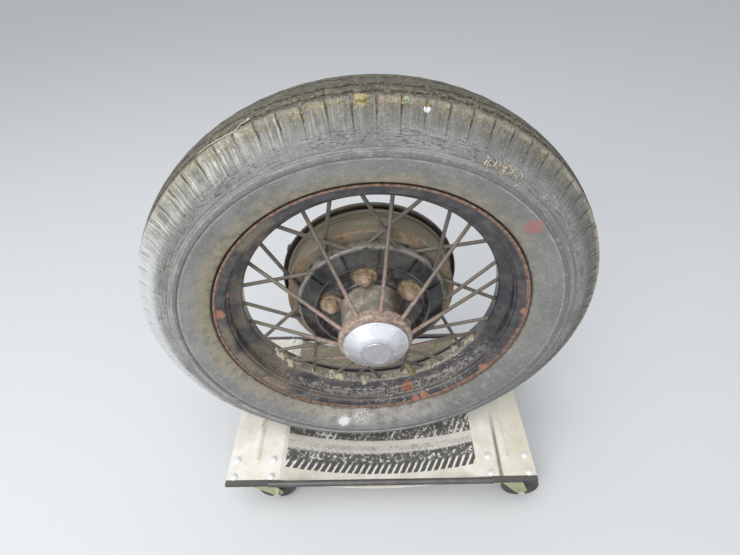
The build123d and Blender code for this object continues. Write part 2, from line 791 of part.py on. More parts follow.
# Casters: corner, place on the deck and heading of the trailing wheel
caster_x = half_deck - caster_inset_x
caster_y = deck_depth / 2 - caster_inset_y
casters = {
    "front_left": (-caster_x, -caster_y, 3.0),
    "front_right": (caster_x, -caster_y, -3.0),
    "rear_left": (-caster_x, caster_y, 6.0),
    "rear_right": (caster_x, caster_y, -5.0),
}
base = on_dolly(Plane.XY.offset(plate_bottom))
for name, (x, y, heading) in casters.items():
    swivel = dolly * Location((x, y, 0), (0, 0, heading))
    hub_end = leg_inside - pin_gap

    # Bolted plate with its race and king pin, riveted over below the fork
    with BuildPart() as caster_plate:
        with BuildSketch(base):
            with Locations((x, y)):
                RectangleRounded(caster_plate_length, caster_plate_width, caster_plate_corner)
        extrude(amount=caster_plate_sheet)
        with BuildSketch(base):
            with Locations((x, y)):
                Circle(race_radius)
        extrude(amount=-race_height)
        with BuildSketch(base):
            with Locations((x, y)):
                Circle(king_pin_radius)
        extrude(amount=-race_height - fork_sheet - 2 * pin_gap)
        with BuildSketch(on_dolly(Plane.XY.offset(fork_top - fork_sheet - pin_gap))):
            with Locations((x, y)):
                Circle(king_pin_head)
        extrude(amount=-king_pin_head_height)
    save(caster_plate, f"caster_plate_{name}")

    # Fork: a round crown bent down into two tapering legs
    leg_side = Plane(swivel * Plane.XZ.offset(bolt_end).location)
    with BuildPart() as fork:
        with BuildSketch(Plane(swivel * Plane.XY.offset(fork_top).location)):
            Circle(crown_radius)
            with Locations((crown_radius - fork_width / 2, 0)):
                Rectangle(fork_width, 2 * bolt_end)
            Circle(king_pin_radius + pin_gap, mode=Mode.SUBTRACT)
        extrude(amount=-fork_sheet)
        for outside in (bolt_end, -leg_inside):
            with BuildSketch(Plane(swivel * Plane.XZ.offset(outside).location)):
                with Locations((crown_radius - fork_width / 2, fork_top)):
                    Rectangle(fork_width, fork_sheet + fork_skirt, align=(Align.CENTER, Align.MAX))
                with Locations((caster_trail, caster_wheel_radius)):
                    Circle(fork_eye_radius)
                make_hull()
                with Locations((caster_trail, caster_wheel_radius)):
                    Circle(caster_bolt_radius, mode=Mode.SUBTRACT)
            extrude(amount=-fork_sheet)
    save(fork, f"caster_fork_{name}")

    # Wheel: bevelled tread with a hub boss that reaches almost to the legs
    with BuildPart() as caster_wheel:
        with BuildSketch(Plane(swivel * Plane.XZ.offset(caster_wheel_width / 2).location)):
            with Locations((caster_trail, caster_wheel_radius)):
                Circle(caster_wheel_radius)
        extrude(amount=-caster_wheel_width)
        chamfer(caster_wheel.edges().filter_by(GeomType.CIRCLE), length=caster_wheel_chamfer)
        with BuildSketch(Plane(swivel * Plane.XZ.offset(hub_end).location)):
            with Locations((caster_trail, caster_wheel_radius)):
                Circle(caster_hub_radius)
        extrude(amount=-2 * hub_end)
        with BuildSketch(Plane(swivel * Plane.XZ.offset(leg_inside).location)):
            with Locations((caster_trail, caster_wheel_radius)):
                Circle(caster_bolt_radius + pin_gap)
        extrude(amount=-2 * leg_inside, mode=Mode.SUBTRACT)
    save(caster_wheel, f"caster_wheel_{name}")

    # Axle bolt with a nut outside each leg
    with BuildPart() as caster_bolt:
        with BuildSketch(leg_side):
            with Locations((caster_trail, caster_wheel_radius)):
                Circle(caster_bolt_radius)
        extrude(amount=-2 * bolt_end)
        for face in (bolt_end + caster_nut_height, -bolt_end):
            with BuildSketch(Plane(swivel * Plane.XZ.offset(face).location)):
                with Locations((caster_trail, caster_wheel_radius)):
                    RegularPolygon(caster_nut_flats / 2, 6, major_radius=False)
            extrude(amount=-caster_nut_height)
    save(caster_bolt, f"caster_bolt_{name}")
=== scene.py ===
"""Rear wheel of a vintage car on its wheel dolly: looks, light and camera.

The sections follow the wheel as it is put together: the tyre on its rim, the spokes and the hub shell, the
drum and the axle behind them, and the dolly with its casters below. Meshes are worked out in millimetres, and
materials read their place in metres.
"""

import math

import bpy
import numpy as np
from mathutils import Matrix, Vector


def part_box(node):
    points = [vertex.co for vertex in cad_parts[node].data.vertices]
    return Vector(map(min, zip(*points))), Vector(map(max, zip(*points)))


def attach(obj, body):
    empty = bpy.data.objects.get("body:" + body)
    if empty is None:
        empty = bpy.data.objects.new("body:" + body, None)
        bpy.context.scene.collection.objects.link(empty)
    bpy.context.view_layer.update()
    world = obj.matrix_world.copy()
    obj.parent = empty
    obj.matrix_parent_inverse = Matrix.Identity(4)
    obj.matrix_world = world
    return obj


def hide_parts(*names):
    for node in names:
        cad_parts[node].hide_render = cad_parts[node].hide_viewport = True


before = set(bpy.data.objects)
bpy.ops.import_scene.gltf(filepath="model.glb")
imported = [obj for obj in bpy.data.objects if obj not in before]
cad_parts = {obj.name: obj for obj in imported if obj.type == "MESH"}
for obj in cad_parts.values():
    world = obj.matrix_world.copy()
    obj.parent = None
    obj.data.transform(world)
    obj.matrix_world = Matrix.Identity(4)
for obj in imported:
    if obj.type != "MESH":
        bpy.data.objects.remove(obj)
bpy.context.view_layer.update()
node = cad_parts

# Camera
# A pocket camera with a wide lens, held above and in front of the hub cap and tipped down at the wheel. Its
# place, its turn and its focal length were solved from the rim, the tyre and the dolly.
film_width, picture_width, focal_pixels = 36, 740, 451.2
tyre_low, tyre_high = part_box("tyre")
wheel_middle = (tyre_low + tyre_high) / 2
eye = wheel_middle + Vector((-0.021, -0.556, 0.554))
heading, tip, lean = math.radians(1.97), math.radians(41.78), math.radians(-2.10)
ahead = Vector(
    (math.sin(heading) * math.cos(tip), math.cos(heading) * math.cos(tip), -math.sin(tip))
)
level = Vector((math.cos(heading), -math.sin(heading), 0))
upright = level.cross(ahead)
across_picture = math.cos(lean) * level + math.sin(lean) * upright
up_picture = math.cos(lean) * upright - math.sin(lean) * level
lens = bpy.data.cameras.new("camera")
lens.sensor_fit = "HORIZONTAL"
lens.sensor_width = film_width
lens.lens = focal_pixels / picture_width * film_width
camera = bpy.data.objects.new("camera", lens)
bpy.context.scene.collection.objects.link(camera)
camera.matrix_world = (
    Matrix.Translation(eye) @ Matrix((across_picture, up_picture, -ahead)).transposed().to_4x4()
)
bpy.context.scene.camera = camera
bpy.context.scene.view_settings.view_transform = "Standard"


# Studio
# A plain pale floor under a bright even sky, with one wide soft lamp overhead and one in front on the left,
# where the daylight came from.
def add(tree, kind, sockets=(), **settings):
    """Put a shader node in a tree. sockets gives each input a value, or the output that feeds it."""
    made = tree.nodes.new("ShaderNode" + kind)
    for name, value in settings.items():
        setattr(made, name, value)
    for name, value in dict(sockets).items():
        if isinstance(value, bpy.types.Node):
            value = value.outputs[0]
        if isinstance(value, bpy.types.NodeSocket):
            tree.links.new(value, made.inputs[name])
        else:
            made.inputs[name].default_value = value
    return made


def sums(tree, operation, first, second=0.0, third=0.0):
    """One step of arithmetic on values or outputs."""
    return add(tree, "Math", {0: first, 1: second, 2: third}, operation=operation).outputs[0]


def colour(red, green, blue):
    """A colour read off a screen, 0 to 255, as the linear value that a shader takes."""
    parts = np.array([red, green, blue]) / 255
    linear = np.where(parts <= 0.04045, parts / 12.92, ((parts + 0.055) / 1.055) ** 2.4)
    return (*linear.tolist(), 1.0)


def soft_lamp(name, place, aim, size, power):
    """A square area lamp at a place, turned to face a point."""
    data = bpy.data.lights.new(name, "AREA")
    data.size = size
    data.energy = power
    lamp = bpy.data.objects.new(name, data)
    lamp.location = place
    lamp.rotation_euler = (Vector(aim) - Vector(place)).to_track_quat("-Z", "Y").to_euler()
    bpy.context.scene.collection.objects.link(lamp)


# The sky lights the wheel at a plain strength, and shows white to the camera and in reflections.
sky_strength = 0.6
sky = bpy.data.worlds.new("studio_sky")
bpy.context.scene.world = sky
sky.use_nodes = True
sky_rays = add(sky.node_tree, "LightPath").outputs
sky_seen = sums(sky.node_tree, "MAXIMUM", sky_rays["Is Camera Ray"], sky_rays["Is Glossy Ray"])
sky_light = sky.node_tree.nodes["Background"]
sky_light.inputs["Color"].default_value = (0.93, 0.96, 1.0, 1.0)
sky_shown = sums(sky.node_tree, "MULTIPLY_ADD", sky_seen, 1 - sky_strength, sky_strength)
sky.node_tree.links.new(sky_shown, sky_light.inputs["Strength"])
soft_lamp("lamp_overhead", (-0.7, -0.9, 3.2), (0, 0, 0.4), 2.6, 56)
soft_lamp("lamp_front_left", (-2.0, -2.6, 1.9), (0, 0, 0.4), 1.8, 44)

reach = 6
floor_points = [(-reach, -reach, 0), (reach, -reach, 0), (reach, reach, 0), (-reach, reach, 0)]
floor_mesh = bpy.data.meshes.new("floor")
floor_mesh.from_pydata(floor_points, [], [(0, 1, 2, 3)])
floor = bpy.data.objects.new("floor", floor_mesh)
bpy.context.scene.collection.objects.link(floor)
floor_material = bpy.data.materials.new("floor_pale")
floor_material.use_nodes = True
floor_surface = floor_material.node_tree.nodes["Principled BSDF"]
floor_surface.inputs["Base Color"].default_value = (0.72, 0.73, 0.74, 1)
floor_surface.inputs["Roughness"].default_value = 0.9
floor_surface.inputs["Specular IOR Level"].default_value = 0.1
floor_mesh.materials.append(floor_material)


# Tyre
# A cross-ply tyre of hard old rubber, vulcanised in a mould: ribs with zigzag grooves on the tread, slits
# over the shoulder at each pitch, and two raised rings round the side. It has gone grey and crazed.
def grid_mesh(name, points, wraps, capped=False):
    """Join grids of points, in millimetres, with quads: one grid, or many of the same size. wraps says
    whether the rows and the columns close. capped puts a flat face on the first and the last row of each."""
    copies = points.reshape(-1, *points.shape[-3:])
    index = np.arange(copies[..., 0].size).reshape(copies.shape[:3])
    caps = [*index[:, 0].tolist(), *index[:, -1, ::-1].tolist()] if capped else []
    if wraps[0]:
        index = np.concatenate([index, index[:, :1]], axis=1)
    if wraps[1]:
        index = np.concatenate([index, index[:, :, :1]], axis=2)
    corners = [index[:, :-1, :-1], index[:, 1:, :-1], index[:, 1:, 1:], index[:, :-1, 1:]]
    quads = np.stack(corners, axis=-1).reshape(-1, 4).tolist()
    mesh = bpy.data.meshes.new(name)
    mesh.from_pydata(copies.reshape(-1, 3) / 1000, [], quads + caps)
    mesh.shade_smooth()
    piece = bpy.data.objects.new(name, mesh)
    bpy.context.scene.collection.objects.link(piece)
    return piece


def round_wheel(angle, radius, across):
    """Points round the axle: at turn a, (radius cos a, across, radius sin a) from the wheel's middle."""
    return np.stack(
        [
            1000 * wheel_middle.x + radius * np.cos(angle),
            1000 * wheel_middle.y + across + 0 * angle,
            1000 * wheel_middle.z + radius * np.sin(angle),
        ],
        axis=-1,
    )


def shader_group(name, takes, gives):
    """Start a node group with named inputs, each with its kind and first value, and named outputs."""
    tree = bpy.data.node_groups.new(name, "ShaderNodeTree")
    for socket, (kind, first) in takes.items():
        made = tree.interface.new_socket(socket, in_out="INPUT", socket_type="NodeSocket" + kind)
        if first is not None:
            made.default_value = first
    for socket, kind in gives.items():
        tree.interface.new_socket(socket, in_out="OUTPUT", socket_type="NodeSocket" + kind)
    return tree, tree.nodes.new("NodeGroupInput").outputs, tree.nodes.new("NodeGroupOutput").inputs


def ramp(tree, value, low, high, share=1.0):
    """0 at low, share at high, and a smooth step between. low may be the larger."""
    sockets = {"Value": value, "From Min": low, "From Max": high, "To Max": share}
    return add(tree, "MapRange", sockets, interpolation_type="SMOOTHSTEP").outputs[0]


def times(tree, *values):
    """The product of values or outputs."""
    result = values[0]
    for value in values[1:]:
        result = sums(tree, "MULTIPLY", result, value)
    return result


def band(tree, value, low, high, soft):
    """1 between low and high, with edges that fade over soft."""
    above = ramp(tree, value, low - soft, low + soft)
    return times(tree, above, ramp(tree, value, high + soft, high - soft))


def blended(tree, share, first, second):
    """Two colours mixed by a share."""
    return add(tree, "Mix", {0: share, 6: first, 7: second}, data_type="RGBA").outputs[2]


def shaded(tree, value, low, high, first, second):
    """A tone that goes from one screen colour to another as a value goes from low to high."""
    return blended(tree, ramp(tree, value, low, high), colour(*first), colour(*second))


def tinted(tree, tone, share, red, green, blue):
    """A tone with a screen colour laid over it by a share."""
    return blended(tree, share, tone, colour(red, green, blue))


def grain(tree, place, scale, detail=4.0, rough=0.55, stretch=0.0):
    """Fractal noise at a place, about one feature in 1/scale metres."""
    sockets = {"Vector": place, "Scale": scale, "Detail": detail, "Roughness": rough, "Distortion": stretch}
    return add(tree, "TexNoise", sockets).outputs[0]


def spot(tree, place, angle, radius, across, size, rough_edge, share=1.0):
    """A ragged spot about a point of the wheel: the distance from it, shaken by noise and stepped at size."""
    centre = tuple(round_wheel(math.radians(angle), radius, across) / 1000)
    away = add(tree, "VectorMath", {0: place, 1: centre}, operation="DISTANCE").outputs["Value"]
    shaken = sums(tree, "MULTIPLY_ADD", grain(tree, place, 260, 3, 0.6), rough_edge * size / 500, away)
    edge = size / 1000 * (1 + rough_edge)
    return ramp(tree, shaken, edge * 1.12, edge * 0.88, share)


def new_material(name):
    """An empty material: it, its tree, its Principled shader and its Object coordinates."""
    made = bpy.data.materials.new(name)
    made.use_nodes = True
    tree = made.node_tree
    return made, tree, tree.nodes["Principled BSDF"], add(tree, "TexCoord").outputs["Object"]


def bumped(tree, surface, height, distance, strength=0.7):
    """Lead a height into a shader's normal, with the depth of its relief in metres."""
    bump = add(tree, "Bump", {"Height": height, "Strength": strength, "Distance": distance})
    tree.links.new(bump.outputs[0], surface.inputs["Normal"])


# Group: where a point lies from the axle, as a radius and a place along it in metres, the direction out to
# it with the parts of that to the side and up, and a turn in radians.
round_axle, takes, gives = shader_group(
    "round_axle",
    {"Place": ("Vector", None)},
    {"Round": "Vector", **dict.fromkeys(("Radius", "Along", "Turn", "Side", "Rise"), "Float")},
)
from_middle = {0: takes["Place"], 1: tuple(wheel_middle)}
from_axle = add(round_axle, "VectorMath", from_middle, operation="SUBTRACT")
square_on = add(round_axle, "VectorMath", {0: from_axle, 1: (1, 0, 1)}, operation="MULTIPLY")
radius_out = add(round_axle, "VectorMath", {0: square_on}, operation="LENGTH")
round_out = add(round_axle, "VectorMath", {0: square_on}, operation="NORMALIZE")
round_parts = add(round_axle, "SeparateXYZ", {0: round_out}).outputs
round_axle.links.new(radius_out.outputs["Value"], gives["Radius"])
round_axle.links.new(add(round_axle, "SeparateXYZ", {0: from_axle}).outputs["Y"], gives["Along"])
round_axle.links.new(round_out.outputs[0], gives["Round"])
round_axle.links.new(round_parts["X"], gives["Side"])
round_axle.links.new(round_parts["Z"], gives["Rise"])
round_axle.links.new(sums(round_axle, "ARCTAN2", round_parts["Z"], round_parts["X"]), gives["Turn"])


def wheel_parts(tree, place):
    """Where a place lies from the axle: the outputs of round_axle there."""
    return add(tree, "Group", {"Place": place}, node_tree=round_axle).outputs


def drawn_out(tree, wheel_place, turning, outward):
    """A place for noise in streaks: the direction from the axle times turning, the radius times outward."""
    round_way = {0: wheel_place["Round"], 1: (turning, 0, turning)}
    round_way = add(tree, "VectorMath", round_way, operation="MULTIPLY")
    out_way = add(tree, "CombineXYZ", {"Y": times(tree, wheel_place["Radius"], outward)})
    return add(tree, "VectorMath", {0: round_way, 1: out_way}, operation="ADD")


# Half the outline, row by row from the middle of the tread over the edge and down the side to the bead, then
# back up inside. The tread is an arc and the side is two arcs that meet where the tyre is widest.
tread_radius, half_tread, tread_crown = 371.9, 40.0, 6.0
edge_radius, widest_radius, crown_inside = 366, 308, 357.7
upper_arc, upper_middle = 60.45, 5.55
lower_arc, lower_middle = 66.39, -0.39
crown_arc = (half_tread**2 + tread_crown**2) / (2 * tread_crown)
tread_rows = np.array([0, 4, 8, 10.2, 11, 15, 15.8, 20, 26.2, 27, 31, 31.8, 34.5, 37, 39, half_tread])
edge_rows = np.array([364, 361.5, 358.5, 355, 352])
side_rows = np.array(
    [349.5, 346.5, 343, 339, 335, 331, 327, 323.5, 321.5, 320, 319, 318, 317, 316, 314.8, 313.4, 312]
    + [310.6, 309.4, 308, 306.6, 305.4, 304, 301, 296, 290, 283, 276, 270, 265, 262.5, 261]
)
inside_rows = np.array(
    [[38.5, 258.7], [38.5, 244], [36.5, 241.7], [26, 241.7], [26, 247.4]]
    + [[50, 285], [56, 308], [37, 350], [26, crown_inside]]
)
upper_side = upper_middle + np.sqrt(upper_arc**2 - np.clip(side_rows - widest_radius, 0, None) ** 2)
lower_side = lower_middle + np.sqrt(lower_arc**2 - np.clip(widest_radius - side_rows, 0, None) ** 2)
half_across = np.concatenate(
    [
        tread_rows,
        half_tread + (edge_radius - edge_rows) / 2,
        np.where(side_rows > widest_radius, upper_side, lower_side),
        inside_rows[:, 0],
    ]
)
tread_arc = tread_radius - crown_arc + np.sqrt(crown_arc**2 - tread_rows**2)
half_radius = np.concatenate([tread_arc, edge_rows, side_rows, inside_rows[:, 1]])
profile_side = np.concatenate([np.ones(len(half_across)), -np.ones(len(half_across) - 1), [0]])
profile_across = np.concatenate([half_across[::-1], -half_across[1:], [0]])[None, :]
profile_radius = np.concatenate([half_radius[::-1], half_radius[1:], [crown_inside]])[None, :]
half = np.abs(profile_across)
on_tread = (profile_radius > 360) & (half < half_tread + 0.1)

# The outline is turned round the axle in 78 pitches of ten columns. The columns beside a slit draw together
# down the shoulder, where the slit gets narrower.
pitches = 78
pitch_parts = np.array([0, 0.045, 0.07, 0.2, 0.35, 0.5, 0.65, 0.8, 0.93, 0.955])
first_slit = math.radians(0.43)
slit_foot, slit_rise = 326, 30
narrow_foot, narrow_span, narrowest = 318, 46, 0.3
phase = np.tile(pitch_parts, pitches)[:, None]
near_slit = np.where(phase > 0.5, phase - 1, phase)
on_shoulder = (half > 36) & (profile_radius > slit_foot)
narrowing = np.clip((profile_radius - narrow_foot) / narrow_span, narrowest, 1)
narrowing = np.where(on_shoulder, narrowing, 1.0)
slit_columns = np.abs(near_slit) < 0.1
angle = np.repeat(np.arange(pitches), len(pitch_parts))[:, None] + phase
angle = angle + np.where(slit_columns, near_slit * (narrowing - 1), 0)
angle = angle * 2 * np.pi / pitches + first_slit
radius = np.repeat(profile_radius, len(phase), axis=0)
across = np.repeat(profile_across, len(phase), axis=0)

# Two grooves on each half of the tread, swung from side to side once a pitch. Slits are cut into the
# shoulder, deeper towards the tread, and two rings with sloped flanks are raised from the side.
inner_groove, outer_groove, half_groove, groove_depth = 13, 29, 2.4, 4.2
zigzag_swing = 2.4
zigzag = zigzag_swing * (np.abs(2 * phase - 1) * 2 - 1)
near_groove = np.exp(-(((half - inner_groove) / 6) ** 2)) + np.exp(-(((half - outer_groove) / 5) ** 2))
across = across + np.where(on_tread, zigzag * near_groove, 0)
from_groove = np.minimum(np.abs(half - inner_groove), np.abs(half - outer_groove))
in_groove = on_tread & (from_groove < half_groove)
radius = radius - np.where(in_groove, groove_depth, 0)
slit_across, slit_down = 1.9, 2.2
in_slit = (np.abs(near_slit) < 0.05) * on_shoulder
in_slit = in_slit * np.clip((profile_radius - slit_foot) / slit_rise, 0, 1)
radius = radius - slit_down * in_slit * (profile_radius > 351)
across = across - profile_side[None, :] * slit_across * in_slit
half_ring, flank = 2.9, 1.1
for ring_radius, ring_height in ((318, 1.6), (308.5, 1.5)):
    raised = ring_height * np.clip((half_ring - np.abs(profile_radius - ring_radius)) / flank, 0, 1)
    across = across + profile_side[None, :] * raised * (half > 60)
tyre = grid_mesh("tyre_rubber", round_wheel(angle, radius, across), (True, True))
sunk = np.maximum(in_groove, in_slit)
tyre.data.attributes.new("sunk", "FLOAT", "POINT").data.foreach_set("value", sunk.ravel())
tyre.data.set_sharp_from_angle(angle=math.radians(40))

rubber, tree, surface, place = new_material("tyre_rubber")
wheel_place = wheel_parts(tree, place)
groove = add(tree, "Attribute", attribute_name="sunk").outputs["Fac"]
blotches = grain(tree, place, 15, 5, 0.6)
mottle = grain(tree, place, 70, 5, 0.65)
specks = grain(tree, place, 480, 3, 0.7)
wobble = sums(tree, "MULTIPLY_ADD", mottle, 0.003, -0.0015)
at_radius = sums(tree, "ADD", wheel_place["Radius"], wobble)
# Streaks are noise drawn out along the radius, and ring_grain and crazing are drawn out round the axle.
streaks = grain(tree, drawn_out(tree, wheel_place, 0.37, 0.07), 330, 3, 0.6)
ring_place = drawn_out(tree, wheel_place, 0.03, 1)
ring_grain = grain(tree, ring_place, 300, 4, 0.6)
crazing = grain(tree, ring_place, 420, 3, 0.5, 0.4)
left = ramp(tree, wheel_place["Side"], 0.1, -0.6)
top = ramp(tree, wheel_place["Rise"], 0.5, 0.9)
low = ramp(tree, wheel_place["Rise"], -0.1, -0.75)

# Grey rubber in blotches, darker low down, with pale crazing and fine cracks between the rings and the slits.
tone = shaded(tree, blotches, 0.36, 0.64, (124, 125, 122), (148, 149, 146))
tone = tinted(tree, tone, ramp(tree, mottle, 0.52, 0.72, 0.5), 108, 107, 103)
tone = tinted(tree, tone, ramp(tree, mottle, 0.45, 0.28, 0.45), 176, 175, 170)
tone = tinted(tree, tone, ramp(tree, ring_grain, 0.5, 0.7, 0.35), 116, 115, 112)
# Darker low down, with painted shade down the right-hand side, deepest low on the right.
right_low_shade = times(tree, low, ramp(tree, wheel_place["Side"], -0.1, 0.5))
tone = tinted(tree, tone, times(tree, low, 0.45), 126, 126, 130)
tone = tinted(tree, tone, times(tree, right_low_shade, 0.6), 106, 108, 112)
tone = tinted(tree, tone, ramp(tree, wheel_place["Side"], 0.2, 0.8, 0.3), 112, 113, 114)
crazed = times(tree, band(tree, at_radius, 0.322, 0.3385, 0.002), sums(tree, "SUBTRACT", 1.0, low))
tone = tinted(tree, tone, times(tree, crazed, ramp(tree, blotches, 0.3, 0.6), 0.35), 168, 168, 165)
near_line = sums(tree, "ABSOLUTE", sums(tree, "SUBTRACT", crazing, 0.5))
cracks = times(tree, ramp(tree, near_line, 0.028, 0.006), crazed, ramp(tree, mottle, 0.42, 0.55))
tone = tinted(tree, tone, times(tree, cracks, 0.85), 74, 72, 68)
outer_side = ramp(tree, at_radius, 0.300, 0.335)
ring_crack = times(tree, ramp(tree, near_line, 0.05, 0.01), outer_side, ramp(tree, blotches, 0.5, 0.62), 0.4)
tone = tinted(tree, tone, ring_crack, 92, 90, 86)

# The rings: dust along the outer one, a dark line outside it, a smooth band between the two and a pale edge.
left_dust = times(tree, ramp(tree, ring_grain, 0.3, 0.55, 0.75), ramp(tree, wheel_place["Side"], 0.9, 0.1))
for inner, outer, soft, worn_share, red, green, blue in (
    (0.3128, 0.3178, 0.0008, left_dust, 182, 181, 174),
    (0.3186, 0.3206, 0.0006, ramp(tree, ring_grain, 0.35, 0.5, 0.7), 98, 96, 92),
    (0.3045, 0.3115, 0.0009, ramp(tree, blotches, 0.2, 0.5, 0.8), 107, 107, 108),
    (0.3022, 0.3040, 0.0006, ramp(tree, ring_grain, 0.35, 0.55, 0.7), 178, 174, 162),
):
    ring_share = times(tree, band(tree, at_radius, inner, outer, soft), worn_share)
    tone = tinted(tree, tone, ring_share, red, green, blue)

# Tan dust by the rim, paler on the left, with rust where the rubber meets it.
by_rim = ramp(tree, sums(tree, "MULTIPLY_ADD", blotches, 0.02, at_radius), 0.304, 0.276)
tan_share = times(tree, by_rim, ramp(tree, mottle, 0.25, 0.6), sums(tree, "MULTIPLY_ADD", low, -0.5, 0.9))
tan_share = times(tree, tan_share, ramp(tree, wheel_place["Side"], 1.3, 0.2))
tone = tinted(tree, tone, tan_share, 164, 153, 128)
tone = tinted(tree, tone, times(tree, tan_share, left, 0.6), 178, 168, 142)
# Painted shade over the outer part of the side at the top.
top_side_shade = times(tree, top, ramp(tree, at_radius, 0.31, 0.325, 0.3))
tone = tinted(tree, tone, top_side_shade, 112, 111, 114)
tone = tinted(tree, tone, ramp(tree, at_radius, 0.2629, 0.2616, 0.8), 84, 66, 52)

# Mottling over the whole side, and a paler patch where it is lowest.
tone = tinted(tree, tone, ramp(tree, mottle, 0.5, 0.36, 0.34), 106, 106, 103)
tone = tinted(tree, tone, ramp(tree, mottle, 0.54, 0.68, 0.4), 176, 174, 166)
lowest = times(tree, ramp(tree, wheel_place["Rise"], -0.82, -0.97), ramp(tree, at_radius, 0.308, 0.284))
tone = tinted(tree, tone, times(tree, lowest, ramp(tree, mottle, 0.3, 0.6), 0.5), 184, 180, 172)

# The shoulder: streaked from the tread down, with painted light on the left and painted shade on the right.
shoulder = ramp(tree, at_radius, 0.336, 0.346)
tone = tinted(tree, tone, times(tree, shoulder, 0.7), 118, 115, 108)
right = ramp(tree, wheel_place["Side"], 0.0, 0.7)
tone = tinted(tree, tone, times(tree, shoulder, right, 0.35), 98, 98, 96)
tone = tinted(tree, tone, times(tree, shoulder, left, 0.6), 168, 168, 162)
lit = sums(tree, "MULTIPLY_ADD", left, 0.6, 0.14)
light_streak = times(tree, ramp(tree, streaks, 0.5, 0.62), ramp(tree, at_radius, 0.326, 0.350), lit)
tone = tinted(tree, tone, light_streak, 212, 210, 200)
dark_streak = times(tree, ramp(tree, streaks, 0.46, 0.36), ramp(tree, at_radius, 0.330, 0.352), 0.4)
tone = tinted(tree, tone, dark_streak, 88, 86, 80)
# Painted shade along one flank of each slit.
in_pitches = sums(tree, "MULTIPLY_ADD", wheel_place["Turn"], pitches / (2 * math.pi), 99.907)
in_pitch = sums(tree, "FRACT", in_pitches)
slit_flank_shade = times(
    tree,
    band(tree, in_pitch, 0.14, 0.6, 0.1),
    band(tree, at_radius, 0.344, 0.360, 0.004),
    ramp(tree, mottle, 0.3, 0.55, 0.55),
)
tone = tinted(tree, tone, slit_flank_shade, 92, 90, 84)
# Painted shade, with some dirt, down in the grooves and the slits.
groove_shade_and_dirt = times(
    tree,
    ramp(tree, groove, 0.05, 0.8),
    sums(tree, "MULTIPLY_ADD", specks, -0.8, 1.0),
    ramp(tree, mottle, 0.36, 0.56),
)
worn_edge = times(tree, band(tree, at_radius, 0.3615, 0.3662, 0.001), ramp(tree, mottle, 0.38, 0.56, 0.7))
tone = tinted(tree, tone, worn_edge, 172, 166, 143)
tread = ramp(tree, at_radius, 0.3662, 0.3678)
tread_tone = shaded(tree, mottle, 0.35, 0.65, (52, 50, 45), (84, 80, 69))
tone = blended(tree, times(tree, tread, 0.92), tone, tread_tone)
tone = tinted(tree, tone, groove_shade_and_dirt, 60, 57, 50)

# Moss along the top edge, fine specks all over, a painted highlight on the far left edge, and single marks.
moss_grain = ramp(tree, grain(tree, place, 150, 5, 0.7), 0.44, 0.6, 0.8)
mossy = times(tree, top, band(tree, at_radius, 0.3535, 0.3705, 0.004), moss_grain)
tone = tinted(tree, tone, mossy, 150, 141, 112)
tone = tinted(tree, tone, ramp(tree, specks, 0.56, 0.68, 0.5), 188, 186, 178)
tone = tinted(tree, tone, ramp(tree, specks, 0.45, 0.32, 0.5), 82, 81, 80)
left_edge_highlight = ramp(tree, wheel_place["Side"], -0.78, -0.96)
left_edge_highlight = times(tree, left_edge_highlight, ramp(tree, at_radius, 0.33, 0.35, 0.8))
tone = tinted(tree, tone, left_edge_highlight, 204, 206, 208)
for mark, red, green, blue in (
    (spot(tree, place, 40.3, 291, -63.6, 13, 1.0, 0.75), 168, 112, 108),
    (spot(tree, place, 78.8, 357.6, -44.2, 4.0, 0.4), 238, 240, 244),
    (spot(tree, place, 82.9, 364.5, -40.8, 4.2, 0.6, 0.9), 176, 198, 172),
    (spot(tree, place, 91.0, 365.3, -40.5, 8.0, 0.9, 0.9), 196, 182, 128),
    (spot(tree, place, 87.2, 364.8, -41.0, 3.5, 0.8, 0.8), 176, 148, 124),
):
    tone = tinted(tree, tone, mark, red, green, blue)
flecks = ramp(tree, grain(tree, place, 520, 2, 0.5), 0.56, 0.61)
splash = sums(
    tree,
    "MAXIMUM",
    spot(tree, place, -103.6, 284, -63.4, 11.5, 1.0, 0.9),
    times(tree, spot(tree, place, -96.2, 270, -63.2, 24, 0.6), flecks),
)
tone = tinted(tree, tone, splash, 232, 233, 236)
tree.links.new(tone, surface.inputs["Base Color"])
surface.inputs["Roughness"].default_value = 0.8
surface.inputs["Specular IOR Level"].default_value = 0.35
relief = sums(tree, "MULTIPLY_ADD", specks, 0.35, times(tree, streaks, shoulder, 0.6))
relief = sums(tree, "MULTIPLY_ADD", cracks, -0.9, relief)
relief = sums(tree, "MULTIPLY_ADD", mossy, 0.8, relief)
bumped(tree, surface, relief, 0.0014)
tyre.data.materials.append(rubber)
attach(tyre, "wheel")
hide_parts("tyre")


# Rim
# One rolled steel rim, enamelled black. Its curled lip has gone brown, dust lies where it faces up, and the
# enamel has flaked to orange rust in patches.

# Group: old enamel over rusting steel, with dust lying on whatever faces up.
weather, takes, gives = shader_group(
    "weather",
    {
        "Place": ("Vector", None),
        "Up": ("Float", 0.0),
        "Paint": ("Color", (0.02, 0.02, 0.02, 1)),
        "Rust": ("Color", (0.15, 0.06, 0.03, 1)),
        "Dust": ("Color", (0.3, 0.25, 0.17, 1)),
        "Rust Share": ("Float", 0.3),
        "Dust Share": ("Float", 0.5),
        "Patch Scale": ("Float", 60.0),
        "Gloss": ("Float", 0.35),
    },
    {"Colour": "Color", "Roughness": "Float", "Height": "Float"},
)
large = grain(weather, takes["Place"], takes["Patch Scale"], 6, 0.62)
small = grain(weather, takes["Place"], times(weather, takes["Patch Scale"], 7.0), 4, 0.65)
worn = sums(weather, "MULTIPLY_ADD", small, 0.35, times(weather, large, 0.65))
edge = sums(weather, "SUBTRACT", 0.82, times(weather, takes["Rust Share"], 0.64))
rusty = ramp(weather, sums(weather, "SUBTRACT", worn, edge), -0.03, 0.05)
